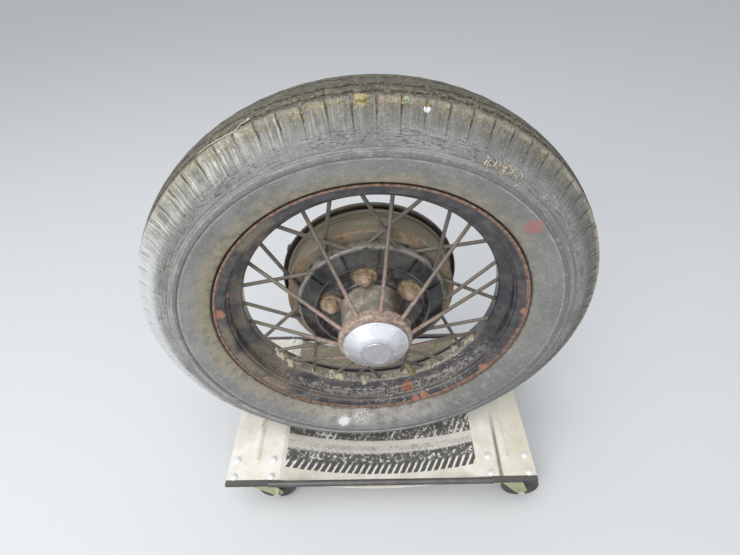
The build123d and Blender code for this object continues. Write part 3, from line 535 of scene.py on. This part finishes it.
rust_dark = blended(weather, 0.55, takes["Rust"], (0.02, 0.012, 0.01, 1))
rust_tone = blended(weather, ramp(weather, small, 0.35, 0.62), rust_dark, takes["Rust"])
paint_dull = blended(weather, 0.35, takes["Paint"], takes["Dust"])
paint_tone = blended(weather, ramp(weather, large, 0.4, 0.7, 0.5), takes["Paint"], paint_dull)
lying = ramp(weather, sums(weather, "MULTIPLY_ADD", worn, 0.9, takes["Up"]), 0.55, 1.25)
thin_film = ramp(weather, worn, 0.3, 0.7, 0.35)
dusty = times(weather, sums(weather, "MAXIMUM", lying, thin_film), takes["Dust Share"])
dusty = sums(weather, "MINIMUM", dusty, 1.0)
metal_tone = blended(weather, rusty, paint_tone, rust_tone)
dust_tone = blended(weather, times(weather, small, 0.5), takes["Dust"], rust_dark)
weather.links.new(blended(weather, dusty, metal_tone, dust_tone), gives["Colour"])
rough = sums(weather, "MAXIMUM", takes["Gloss"], times(weather, rusty, 0.85))
rough = sums(weather, "MAXIMUM", rough, times(weather, dusty, 0.95))
weather.links.new(rough, gives["Roughness"])
relief = times(weather, sums(weather, "MAXIMUM", rusty, dusty), sums(weather, "ADD", small, 0.4))
weather.links.new(relief, gives["Height"])


def weathered(name, paint, rust, dust, rust_share, dust_share, scale, gloss, relief=0.0008, metal=0.0):
    """A material of the weather group: it, its tree, its shader, its place, its colour so far and its Up."""
    made, tree, surface, place = new_material(name)
    up = add(tree, "SeparateXYZ", {0: add(tree, "TexCoord").outputs["Normal"]}).outputs["Z"]
    sockets = {
        "Place": place,
        "Up": up,
        "Paint": colour(*paint),
        "Rust": colour(*rust),
        "Dust": colour(*dust),
        "Rust Share": rust_share,
        "Dust Share": dust_share,
        "Patch Scale": scale,
        "Gloss": gloss,
    }
    aged = add(tree, "Group", sockets, node_tree=weather).outputs
    tree.links.new(aged["Colour"], surface.inputs["Base Color"])
    tree.links.new(aged["Roughness"], surface.inputs["Roughness"])
    bumped(tree, surface, aged["Height"], relief)
    surface.inputs["Metallic"].default_value = metal
    return made, tree, surface, place, aged["Colour"], up


def finish(material, *pieces):
    """Give pieces a material: a CAD node by its name, and a new piece as it is."""
    for piece in pieces:
        mesh = node[piece].data if isinstance(piece, str) else piece.data
        mesh.materials.clear()
        mesh.materials.append(material)


def coated(pieces, name, *colours, **wear):
    """Give pieces a finish of the weather group, with nothing laid over it."""
    finish(weathered(name, *colours, **wear)[0], *pieces)


rust_brown = (112, 70, 50)
dust_tan = (158, 141, 108)
rim_enamel, tree, surface, place, tone, _ = weathered(
    "rim_enamel", (46, 46, 53), (98, 74, 60), (150, 144, 134),
    rust_share=0.32, dust_share=0.46, scale=34, gloss=0.18,
)
wheel_place = wheel_parts(tree, place)
speckle = grain(tree, place, 150, 4, 0.65)
flakes = grain(tree, place, 260, 4, 0.7)
blotches = grain(tree, place, 22, 5, 0.6)
low = ramp(tree, wheel_place["Rise"], -0.2, -0.8)
front_half = ramp(tree, wheel_place["Along"], 0.004, -0.004)
seat = times(tree, low, band(tree, wheel_place["Along"], -0.0335, -0.0145, 0.002))
seat_tone = shaded(tree, speckle, 0.4, 0.6, (84, 84, 92), (190, 184, 176))
tone = blended(tree, times(tree, seat, 0.8), tone, seat_tone)
well = times(tree, low, band(tree, wheel_place["Along"], -0.008, 0.013, 0.002))
well_tone = shaded(tree, speckle, 0.4, 0.6, (140, 142, 150), (192, 180, 150))
tone = blended(tree, times(tree, well, 0.9), tone, well_tone)
flaked = times(tree, ramp(tree, flakes, 0.59, 0.64), ramp(tree, blotches, 0.38, 0.52, 0.9))
white_flake = times(tree, low, front_half, flaked)
tone = tinted(tree, tone, white_flake, 226, 222, 214)
# Paler tan patches towards the left.
paler_left = times(tree, ramp(tree, wheel_place["Side"], -0.2, -0.8), ramp(tree, blotches, 0.38, 0.6, 0.6))
tone = tinted(tree, tone, paler_left, 142, 128, 106)
lip = ramp(tree, wheel_place["Radius"], 0.2515, 0.2545)
lip = times(tree, lip, ramp(tree, wheel_place["Along"], -0.036, -0.040))
lip_tone = shaded(tree, speckle, 0.35, 0.65, (104, 76, 62), (160, 132, 114))
tone = blended(tree, times(tree, lip, 0.9), tone, lip_tone)
for angle_at, radius_at, across_at, size_at in (
    (172, 250, -40, 9),
    (163, 240, -33, 7),
    (-74, 238.5, -22, 12),
    (-67, 248, -38, 9),
    (-71.5, 251, -40, 8),
    (-35.5, 254, -41, 9),
    (0, 254, -41, 7),
):
    old_rust = spot(tree, place, angle_at, radius_at, across_at, size_at, 1.0, 0.85)
    tone = blended(tree, old_rust, tone, blended(tree, speckle, colour(140, 84, 62), colour(196, 140, 112)))
tree.links.new(tone, surface.inputs["Base Color"])
finish(rim_enamel, "rim")

# Valve
# The valve of the inner tube: a short brass stem pushed through the well of the rim and held there by a flat
# hexagonal nut.
coated(
    ["valve_stem"],
    "valve_brass", (150, 134, 96), rust_brown, (190, 178, 146),
    rust_share=0.2, dust_share=0.9, scale=120, gloss=0.6, relief=0.0003, metal=0.3,
)

# Spokes
# Straight steel rods, butt-welded to the rim and the shell. The enamel is thin and grey-brown, dust lies
# along their tops, and bare rust shows near the nose.
spoke_enamel, tree, surface, place, tone, up = weathered(
    "spoke_enamel", (86, 80, 78), (130, 104, 86), (166, 156, 136),
    rust_share=0.4, dust_share=0.55, scale=70, gloss=0.45, relief=0.0004,
)
wheel_place = wheel_parts(tree, place)
speckle = grain(tree, place, 170, 4, 0.6)
near_nose = times(tree, ramp(tree, wheel_place["Along"], -0.045, -0.07), ramp(tree, speckle, 0.35, 0.6, 0.75))
tone = tinted(tree, tone, near_nose, 178, 146, 136)
# Painted shade on the undersides of the spokes.
underside_shade = times(tree, ramp(tree, up, -0.1, -0.7), 0.6)
tone = tinted(tree, tone, underside_shade, 58, 50, 46)
tree.links.new(tone, surface.inputs["Base Color"])
finish(spoke_enamel, "front_spokes", "rear_spokes_leading", "rear_spokes_trailing")

# Hub shell
# A pressed steel shell: the spokes are welded to its nose collar and to its broad black ring, and the wheel
# nuts sit on bosses in between. The ring has kept its gloss, and the bosses and the nose are dusty.
shell_enamel, tree, surface, place, tone, _ = weathered(
    "shell_enamel", (20, 20, 24), (96, 76, 62), (140, 132, 118),
    rust_share=0.12, dust_share=0.14, scale=40, gloss=0.12,
)
wheel_place = wheel_parts(tree, place)
patches = grain(tree, place, 60, 5, 0.6)
speckle = grain(tree, place, 150, 4, 0.6)
inside_ring = ramp(tree, wheel_place["Radius"], 0.0965, 0.0925)
recess_tone = shaded(tree, patches, 0.45, 0.62, (52, 50, 55), (98, 92, 86))
tone = blended(tree, times(tree, inside_ring, 0.9), tone, recess_tone)
ring_dust = times(tree, ramp(tree, wheel_place["Radius"], 0.1, 0.104), ramp(tree, patches, 0.56, 0.7, 0.2))
tone = tinted(tree, tone, ring_dust, 112, 106, 98)
# Painted highlights along the outer and the inner edge of the ring.
ring_edge_highlights = sums(
    tree,
    "MAXIMUM",
    band(tree, wheel_place["Radius"], 0.1235, 0.1262, 0.0008),
    band(tree, wheel_place["Radius"], 0.0962, 0.0985, 0.0008),
)
tone = tinted(tree, tone, times(tree, ring_edge_highlights, ramp(tree, patches, 0.3, 0.6, 0.5)), 140, 140, 142)
ring_drop = ramp(tree, wheel_place["Along"], -0.016, -0.008)
ring_drop = times(tree, ring_drop, ramp(tree, wheel_place["Radius"], 0.12, 0.127))
ring_drop = times(tree, ring_drop, ramp(tree, patches, 0.35, 0.55, 0.85))
tone = tinted(tree, tone, ring_drop, 152, 146, 134)

# Ochre dust round each nut: how far a point lies from the nearest boss, round the circle of bosses and out.
nut_count, first_nut, boss_circle, boss_pitch = 5, 98.6, 0.07, 0.0878
turn_to_nuts = 10.5 - first_nut / (360 / nut_count)
fifths = sums(tree, "MULTIPLY_ADD", wheel_place["Turn"], nut_count / (2 * math.pi), turn_to_nuts)
round_boss = sums(tree, "MULTIPLY_ADD", sums(tree, "FRACT", fifths), boss_pitch, -boss_pitch / 2)
out_boss = sums(tree, "SUBTRACT", wheel_place["Radius"], boss_circle)
squares = sums(tree, "MULTIPLY_ADD", round_boss, round_boss, times(tree, out_boss, out_boss))
from_boss = sums(tree, "SQRT", squares)
from_boss = sums(tree, "MULTIPLY_ADD", patches, 0.012, from_boss)
bosses = times(tree, inside_ring, ramp(tree, from_boss, 0.030, 0.023, 0.85))
boss_tone = shaded(tree, speckle, 0.35, 0.62, (136, 112, 78), (178, 164, 132))
tone = blended(tree, bosses, tone, boss_tone)

# The dusty barrel, in shade on its right, and the rusty collar at the nose.
barrel = ramp(tree, wheel_place["Radius"], 0.0585, 0.0565)
barrel = times(tree, barrel, ramp(tree, wheel_place["Along"], -0.012, -0.02))
barrel_tone = shaded(tree, patches, 0.35, 0.62, (140, 134, 122), (184, 174, 150))
barrel_tone = tinted(tree, barrel_tone, ramp(tree, patches, 0.54, 0.62, 0.7), 196, 198, 202)
shade_side = times(tree, ramp(tree, wheel_place["Side"], 0.3, 0.75), 0.85)
barrel_tone = tinted(tree, barrel_tone, shade_side, 52, 47, 43)
tone = blended(tree, barrel, tone, barrel_tone)
collar = ramp(tree, wheel_place["Along"], -0.069, -0.0745)
collar_tone = shaded(tree, speckle, 0.35, 0.62, (140, 116, 102), (176, 158, 144))
tone = blended(tree, collar, tone, collar_tone)
tree.links.new(tone, surface.inputs["Base Color"])
finish(shell_enamel, "hub_shell")

# Hub cap
# A spun cap of plated brass, pushed into the collar, with a plain ring round its flat middle. The plating is
# scratched, and dull in patches.
cap_plate, tree, surface, place = new_material("cap_plate")
scuffs = grain(tree, place, 90, 5, 0.6)
stains = grain(tree, place, 34, 5, 0.6)
drawn_up = add(tree, "VectorMath", {0: place, 1: (1, 1, 0.25)}, operation="MULTIPLY")
scratches = grain(tree, drawn_up, 420, 3, 0.6)
dull = ramp(tree, scuffs, 0.42, 0.62)
cap_tone = blended(tree, times(tree, dull, 0.5), colour(204, 204, 210), colour(172, 168, 170))
cap_tone = tinted(tree, cap_tone, ramp(tree, stains, 0.58, 0.72, 0.35), 156, 146, 140)
cap_place = wheel_parts(tree, place)
on_cap = cap_place["Radius"]
# A painted highlight over the upper part of the cap, outside its middle.
cap_top_highlight = times(tree, ramp(tree, cap_place["Rise"], 0.1, 0.85), ramp(tree, on_cap, 0.024, 0.036, 0.8))
cap_tone = tinted(tree, cap_tone, cap_top_highlight, 240, 242, 246)
cap_tone = tinted(tree, cap_tone, ramp(tree, on_cap, 0.0232, 0.0222, 0.45), 160, 154, 156)
cap_tone = tinted(tree, cap_tone, band(tree, on_cap, 0.0225, 0.0231, 0.0004), 98, 92, 90)
cap_tone = tinted(tree, cap_tone, band(tree, on_cap, 0.0249, 0.0253, 0.0003), 120, 112, 110)
cap_tone = tinted(tree, cap_tone, ramp(tree, scratches, 0.62, 0.7, 0.35), 120, 114, 110)
tree.links.new(cap_tone, surface.inputs["Base Color"])
surface.inputs["Metallic"].default_value = 0.75
tree.links.new(sums(tree, "MULTIPLY_ADD", dull, 0.14, 0.22), surface.inputs["Roughness"])
bumped(tree, surface, scuffs, 0.0004, 0.25)
finish(cap_plate, "hub_cap")

# Wheel nuts
# Five turned steel nuts that hold the shell on the studs of the hub. They are pinkish brown with rust, with
# ochre dust on their tops.
coated(
    ["wheel_nuts"],
    "nut_rust", (176, 148, 138), (162, 118, 98), (190, 170, 132),
    rust_share=0.45, dust_share=0.7, scale=110, gloss=0.5, relief=0.0006,
)

# Brake drum, hub and axle
# A cast drum, dusty all over, on a forged hub. Behind it are a pressed backing plate and the end of the axle
# housing, both in old black enamel.
drum_dust, tree, surface, place, tone, _ = weathered(
    "drum_dust", (112, 106, 92), (122, 96, 74), (170, 160, 134),
    rust_share=0.28, dust_share=0.85, scale=30, gloss=0.6,
)
wheel_place = wheel_parts(tree, place)
speckle = grain(tree, place, 150, 4, 0.65)

# Rings left by turning: noise that changes along the axle and hardly at all round it.
drawn_round = 0.012
ring_side, ring_rise = (times(tree, wheel_place[part], drawn_round) for part in ("Side", "Rise"))
drum_ring = add(tree, "CombineXYZ", {"X": ring_side, "Y": wheel_place["Along"], "Z": ring_rise})
drum_rings = grain(tree, drum_ring, 110, 3, 0.6)
tone = tinted(tree, tone, ramp(tree, drum_rings, 0.54, 0.66, 0.55), 170, 162, 138)
tone = tinted(tree, tone, ramp(tree, drum_rings, 0.46, 0.34, 0.55), 82, 74, 60)
corner = band(tree, wheel_place["Along"], 0.0085, 0.0175, 0.0015)
corner = times(tree, corner, ramp(tree, wheel_place["Radius"], 0.132, 0.139))
corner = times(tree, corner, ramp(tree, grain(tree, place, 30, 4, 0.6), 0.4, 0.55, 0.7))
rust_tone = shaded(tree, speckle, 0.35, 0.62, (100, 74, 54), (158, 122, 86))
tone = blended(tree, corner, tone, rust_tone)
back_edge = times(tree, ramp(tree, wheel_place["Along"], 0.058, 0.0605), 0.7)
tone = tinted(tree, tone, back_edge, 178, 170, 152)
tree.links.new(tone, surface.inputs["Base Color"])
finish(drum_dust, "brake_drum")
coated(
    ["hub"],
    "hub_grease", (52, 46, 42), rust_brown, dust_tan,
    rust_share=0.3, dust_share=0.3, scale=50, gloss=0.4,
)
coated(
    ["axle_shaft"],
    "shaft_steel", (120, 118, 114), rust_brown, dust_tan,
    rust_share=0.35, dust_share=0.3, scale=60, gloss=0.35, relief=0.0003, metal=0.8,
)
coated(
    ["backing_plate", "axle_housing", "brake_lever", "brake_adjuster"],
    "plate_enamel", (44, 36, 30), (88, 58, 42), dust_tan,
    rust_share=0.35, dust_share=0.2, scale=30, gloss=0.5,
)

# Dolly deck
# A pressed steel sheet with a dish for the tyre, painted cream. The tyre has rubbed black prints of its
# tread blocks across the dish: a row of bars, a smeared band, a grey zigzag band and broken blocks.
dolly_x, dolly_turn = 9, math.radians(-3.1)
deck_cream, tree, surface, place = new_material("deck_cream")
lie = {"Vector": place, "Location": (dolly_x / 1000, 0, 0), "Rotation": (0, 0, dolly_turn)}
on_deck = add(tree, "Mapping", lie, vector_type="TEXTURE")
parts = add(tree, "SeparateXYZ", {0: on_deck}).outputs
mottle = grain(tree, place, 26, 6, 0.65)
grime = grain(tree, place, 130, 4, 0.7)
fine = grain(tree, place, 520, 3, 0.7)

# How far a point lies in front of the wheel's middle, how far to either side of it, and that shaken by grime.
wheel_y = -0.0205
toward = sums(tree, "SUBTRACT", wheel_y, parts["Y"])
from_wheel = sums(tree, "ABSOLUTE", toward)
wavy = sums(tree, "MULTIPLY_ADD", grime, 0.006, sums(tree, "ADD", from_wheel, -0.003))

# Cream paint, darker and yellower at the right-hand end, and rubbed grey where the tyre has rolled.
cream = shaded(tree, mottle, 0.35, 0.7, (248, 244, 236), (228, 222, 206))
cream = tinted(tree, cream, ramp(tree, grime, 0.64, 0.74, 0.45), 156, 138, 108)
cream = tinted(tree, cream, ramp(tree, fine, 0.66, 0.74, 0.35), 120, 104, 82)
right = ramp(tree, parts["X"], 0.2, 0.3, 0.5)
cream = tinted(tree, cream, right, 208, 200, 172)
in_dish = times(tree, ramp(tree, parts["X"], 0.1935, 0.1915), ramp(tree, parts["X"], -0.1935, -0.1915))
rubbed = times(tree, band(tree, wavy, 0.058, 0.0715, 0.002), in_dish, 0.35)
cream = tinted(tree, cream, rubbed, 184, 182, 176)

# Prints of the tread: leaning bars at an even pitch in the outer row, a smeared band, a grey band with a
# zigzag line in it, and broken blocks under the tyre.
bar_lean, bar_pitch = 0.53, 0.0137
leaning = sums(tree, "MULTIPLY_ADD", toward, bar_lean, parts["X"])
shaken = sums(tree, "MULTIPLY_ADD", grime, 0.0045, leaning)
bar = sums(tree, "FRACT", sums(tree, "MULTIPLY_ADD", shaken, 1 / bar_pitch, 40.0))
off_bar = sums(tree, "ABSOLUTE", sums(tree, "SUBTRACT", bar, 0.5))
bars = ramp(tree, off_bar, 0.36, 0.28)
block_row = times(tree, bars, band(tree, wavy, 0.106, 0.1315, 0.0012), ramp(tree, mottle, 0.25, 0.4, 0.95))
smear_edge = sums(tree, "MULTIPLY_ADD", parts["X"], 0.018, wavy)
smear = times(tree, band(tree, smear_edge, 0.088, 0.1125, 0.003), ramp(tree, grime, 0.36, 0.5, 0.92))
zig_reach, zig_middle = 0.011, 0.0865
zig_line = sums(tree, "MULTIPLY_ADD", off_bar, zig_reach, sums(tree, "SUBTRACT", wavy, zig_middle))
zig_share = times(tree, in_dish, ramp(tree, sums(tree, "ABSOLUTE", zig_line), 0.0024, 0.0012, 0.7))
grey_band = band(tree, wavy, 0.0705, 0.0935, 0.0015)
band_tone = shaded(tree, mottle, 0.4, 0.6, (178, 175, 166), (210, 207, 199))
band_tone = tinted(tree, band_tone, ramp(tree, grime, 0.52, 0.64, 0.6), 112, 108, 98)
inner_row = times(tree, ramp(tree, wavy, 0.0595, 0.0575), ramp(tree, wavy, 0.004, 0.014))
inner_row = times(tree, inner_row, ramp(tree, grime, 0.36, 0.48, 0.9))
inner_row = times(tree, inner_row, sums(tree, "MAXIMUM", bars, ramp(tree, mottle, 0.42, 0.52)))
tone = blended(tree, times(tree, grey_band, in_dish, 0.85), cream, band_tone)
tone = tinted(tree, tone, times(tree, grey_band, zig_share), 232, 229, 220)
print_share = sums(tree, "MAXIMUM", sums(tree, "MAXIMUM", block_row, smear), inner_row)
print_share = times(tree, print_share, in_dish)
print_tone = shaded(tree, fine, 0.4, 0.65, (44, 44, 48), (92, 90, 90))
tone = blended(tree, print_share, tone, print_tone)

# Dry earth and painted shade over the prints behind the wheel, and a dark wedge of painted shade and dirt
# along the right-hand rib.
earth_and_shade_behind = times(tree, ramp(tree, toward, 0.01, -0.04), in_dish, ramp(tree, mottle, 0.15, 0.4, 0.9))
earth = shaded(tree, grime, 0.35, 0.65, (126, 116, 88), (170, 160, 130))
tone = blended(tree, earth_and_shade_behind, tone, earth)
wedge_x = 0.2435
wedge_across = sums(tree, "SUBTRACT", sums(tree, "MULTIPLY_ADD", toward, 0.03, parts["X"]), wedge_x)
rib_shade_and_dirt = times(tree, band(tree, wedge_across, -0.006, 0.001, 0.0025), ramp(tree, toward, 0.0, 0.09))
rib_shade_and_dirt = times(tree, rib_shade_and_dirt, ramp(tree, grime, 0.2, 0.45, 0.8))
tone = tinted(tree, tone, rib_shade_and_dirt, 96, 86, 74)
tree.links.new(tone, surface.inputs["Base Color"])
surface.inputs["Roughness"].default_value = 0.55
bumped(tree, surface, sums(tree, "MULTIPLY_ADD", print_share, 0.3, grime), 0.0005, 0.35)
finish(deck_cream, "deck")


# Deck bolts
# Sixteen bright plated bolts with domed heads, four above each caster plate, put through the deck from above.
# A head is an outline of radii and heights turned round the bolt.
bolt_u = np.array([-290.5, -216.5, 216.5, 290.5])
bolt_v = np.array([-173.5, -139.0, 139.0, 173.5])
along_deck, across_deck = (part.ravel() for part in np.meshgrid(bolt_u, bolt_v))
bolt_x = dolly_x + along_deck * math.cos(dolly_turn) - across_deck * math.sin(dolly_turn)
bolt_y = along_deck * math.sin(dolly_turn) + across_deck * math.cos(dolly_turn)
bolt_x, bolt_y = bolt_x[:, None, None], bolt_y[:, None, None]
deck_top = 112.0
head_heights = np.array([4.3, 4.1, 3.4, 2.4, 1.2, 0.0])[None, :, None]
head_radii = np.array([1.2, 2.9, 5.0, 6.4, 7.1, 7.2])[None, :, None]
around = (np.arange(16) * 2 * np.pi / 16)[None, None, :]
bolt_heads = np.stack(
    [
        bolt_x + head_radii * np.cos(around),
        bolt_y + head_radii * np.sin(around),
        deck_top + head_heights + 0 * (bolt_x + around),
    ],
    axis=-1,
)
deck_bolts = grid_mesh("deck_bolts", bolt_heads, (False, True), capped=True)
coated(
    [deck_bolts],
    "bolt_plate", (244, 245, 246), (190, 180, 160), (224, 220, 210),
    rust_share=0.08, dust_share=0.2, scale=90, gloss=0.32, relief=0.0003, metal=0.15,
)
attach(deck_bolts, "dolly")

# Dolly rails
# A round steel rod between two square steel blocks along each long edge of the deck, all sprayed black. The
# blocks have gone duller than the rods.
coated(
    ["front_rod", "rear_rod"],
    "rod_black", (46, 46, 56), rust_brown, (150, 146, 138),
    rust_share=0.12, dust_share=0.35, scale=60, gloss=0.16,
)
coated(
    ["front_blocks", "rear_blocks"],
    "block_black", (46, 44, 44), rust_brown, (124, 120, 114),
    rust_share=0.15, dust_share=0.5, scale=60, gloss=0.5,
)

# Casters
# Plates and forks of pressed steel, yellow with zinc plating, that hold moulded black wheels. A bright plated
# bolt goes through each wheel.
corners = ("front_left", "front_right", "rear_left", "rear_right")
coated(
    [f"caster_{part}_{corner}" for part in ("plate", "fork") for corner in corners],
    "yellow_zinc", (186, 190, 150), (140, 120, 70), (150, 140, 110),
    rust_share=0.25, dust_share=0.35, scale=70, gloss=0.38, relief=0.0004, metal=0.6,
)
coated(
    [f"caster_bolt_{corner}" for corner in corners],
    "bright_zinc", (214, 216, 206), (150, 134, 96), (170, 160, 130),
    rust_share=0.15, dust_share=0.25, scale=90, gloss=0.3, relief=0.0003, metal=0.7,
)
coated(
    [f"caster_wheel_{corner}" for corner in corners],
    "roller_black", (44, 42, 40), (92, 80, 60), (140, 128, 100),
    rust_share=0.2, dust_share=0.5, scale=60, gloss=0.6,
)

# Moss and mud
# Small dry lumps: moss and lichen along the top edge of the tread, and clods of mud in the lower well of
# the rim. A lump is a ball, pressed flat, whose radius is shaken by two slow waves.
dice = np.random.default_rng(11)
tufts, clods, crumbs = 34, 46, 24
well_radius, seat_radius = 217.2, 237.6
moss_turn = np.radians(np.concatenate([[91.1, 90.2, 83.0], dice.uniform(74, 108, tufts)]))
moss_radius = np.concatenate([[365.5, 366.5, 364.6], dice.uniform(360.5, 366.5, tufts)])
moss_across = np.concatenate([[-40.4, -39.4, -40.8], -40.0 - (366.2 - moss_radius[3:]) / 2])
moss_size = np.concatenate([[5.4, 3.8, 2.6], dice.uniform(0.7, 1.9, tufts)])
mud_turn = np.radians(np.concatenate([dice.uniform(-152, -30, clods), dice.uniform(-128, -52, crumbs)]))
mud_radius = np.concatenate([np.full(clods, well_radius), np.full(crumbs, seat_radius)])
mud_across = np.concatenate([dice.uniform(-6, 8, clods), dice.uniform(-29, -17, crumbs)])
mud_size = np.concatenate([1.6 + 9 * dice.random(clods) ** 2, dice.uniform(0.8, 2.2, crumbs)])
pole, pressed = 0.12, 0.55
slope = np.linspace(pole, np.pi - pole, 7)[None, :, None]
around = (np.arange(10) * 2 * np.pi / 10)[None, None, :]


def lumps(name, turn, radius, across, size):
    """Lumps on the wheel: at slope and around, a ball of the shaken radius, its height out pressed down."""
    turn, radius, across, size = (part[:, None, None] for part in (turn, radius, across, size))
    shaken = size * (1 + 0.32 * np.sin(3 * around + 40 * turn) + 0.28 * np.cos(5 * slope + 90 * turn))
    out = shaken * np.sin(slope) * np.cos(around)
    side = shaken * np.sin(slope) * np.sin(around)
    rise = pressed * shaken * np.cos(slope) + 0 * around
    places = round_wheel(turn, radius, across)
    along = np.stack([-np.sin(turn), 0 * turn, np.cos(turn)], axis=-1)
    outward = np.stack([np.cos(turn), 0 * turn, np.sin(turn)], axis=-1)
    sideways = np.array([0.0, 1.0, 0.0])
    points = places + out[..., None] * along - side[..., None] * sideways + rise[..., None] * outward
    piece = grid_mesh(name, points, (False, True), capped=True)
    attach(piece, "wheel")
    return piece


moss = lumps("moss", moss_turn, moss_radius, moss_across, moss_size)
coated(
    [moss],
    "moss_tan", (168, 152, 112), (150, 118, 88), (196, 184, 136),
    rust_share=0.3, dust_share=0.7, scale=160, gloss=0.95, relief=0.0012,
)
mud = lumps("mud", mud_turn, mud_radius, mud_across, mud_size)
coated(
    [mud],
    "mud_tan", (204, 194, 166), (166, 146, 116), (216, 210, 190),
    rust_share=0.25, dust_share=0.7, scale=160, gloss=0.95, relief=0.0012,
)

# Straw and root
# Dry wisps caught on the side of the tyre, and one pale root over its top edge. A strand is a thin round
# tube carried along a bent line, and it narrows towards both ends.


def strands(name, line, thickness):
    """Tubes along lines: round each step, six points at its thickness, square to the way that the line goes.
    line is (strands, steps, 3) in millimetres, and thickness is (strands, steps)."""
    ahead = np.gradient(line, axis=1)
    ahead /= np.linalg.norm(ahead, axis=-1, keepdims=True)
    first = np.cross(ahead, [0.0, 1.0, 0.3])
    first /= np.linalg.norm(first, axis=-1, keepdims=True)
    second = np.cross(ahead, first)
    turn = (np.arange(6) * 2 * np.pi / 6)[None, None, :, None]
    ring = np.cos(turn) * first[:, :, None] - np.sin(turn) * second[:, :, None]
    points = line[:, :, None] + thickness[:, :, None, None] * ring
    piece = grid_mesh(name, points, (False, True), capped=True)
    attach(piece, "wheel")
    return piece


# A wisp leans from the radius and is bent about its middle, where it is thickest and stands furthest off the
# rubber. The side of the tyre is a shallow curve there, about its widest radius.
wisps, side_face, side_curve = 90, -66.6, 0.011
steps = np.linspace(0, 1, 9)[None, :]
wisp_turn = np.radians(np.clip(dice.normal(59.4, 2.5, wisps), 54.4, 64.2))[:, None]
wisp_radius = np.clip(dice.normal(323.5, 3.8, wisps), 315, 332)[:, None]
wisp_lean = dice.uniform(0, np.pi, wisps)[:, None]
wisp_length = dice.uniform(4, 15, wisps)[:, None]
wisp_bend = dice.normal(0, 0.8, wisps)[:, None]
lean = wisp_lean + wisp_bend * (steps - 0.5)
step_out = wisp_length * (steps - 0.5) * np.cos(lean)
step_round = 1.5 * wisp_length * (steps - 0.5) * np.sin(lean)
strand_radius = wisp_radius + step_out
wisp_high = dice.uniform(0.2, 3.0, wisps)[:, None] * (1 - 1.6 * np.abs(steps - 0.5))
wisp_across = side_face + side_curve * (strand_radius - widest_radius) ** 2 - wisp_high
wisp_line = round_wheel(wisp_turn + step_round / strand_radius, strand_radius, wisp_across)
wisp_thickness = 0.1 + 0.34 * np.sin(np.pi * steps) * dice.uniform(0.5, 1.2, wisps)[:, None]
straw = strands("straw", wisp_line, wisp_thickness)
coated(
    [straw],
    "straw_tan", (226, 216, 194), (128, 104, 82), (236, 230, 216),
    rust_share=0.5, dust_share=0.4, scale=120, gloss=0.85, relief=0.0004,
)

# The root passes through knots, each a turn in degrees, a radius and a place across. It sways a little
# between them, tapers at the start and swells where it was torn off.
root_knots = np.array(
    [
        [124.5, 368.9, -31],
        [118.2, 368.6, -35],
        [114.9, 368.0, -37.7],
        [113.6, 369.6, -30],
        [111.9, 370.4, -28],
    ]
)
knots = np.arange(len(root_knots))
root_steps = np.linspace(0, 4, 33)
root_turn, root_radius, root_across = (np.interp(root_steps, knots, part) for part in root_knots.T)
root_radius = root_radius + 0.4 * np.sin(3 * root_steps)
root_across = root_across + 0.7 * np.sin(5 * root_steps)
root_line = round_wheel(np.radians(root_turn), root_radius, root_across)
root_thin, root_swell, root_thickest = 0.62, 1.3, 1.8
root_thickness = root_thin + root_swell * np.exp(-(((root_steps - 3.9) / 0.14) ** 2))
root_thickness = np.minimum(root_thickness, root_thickest)
root_taper = np.clip((root_steps + 0.1) * 4, 0.1, 1)
root = strands("root", root_line[None], (root_thickness * root_taper)[None])
coated(
    [root],
    "root_pale", (206, 198, 176), (160, 140, 110), (220, 214, 196),
    rust_share=0.2, dust_share=0.5, scale=120, gloss=0.85, relief=0.0004,
)
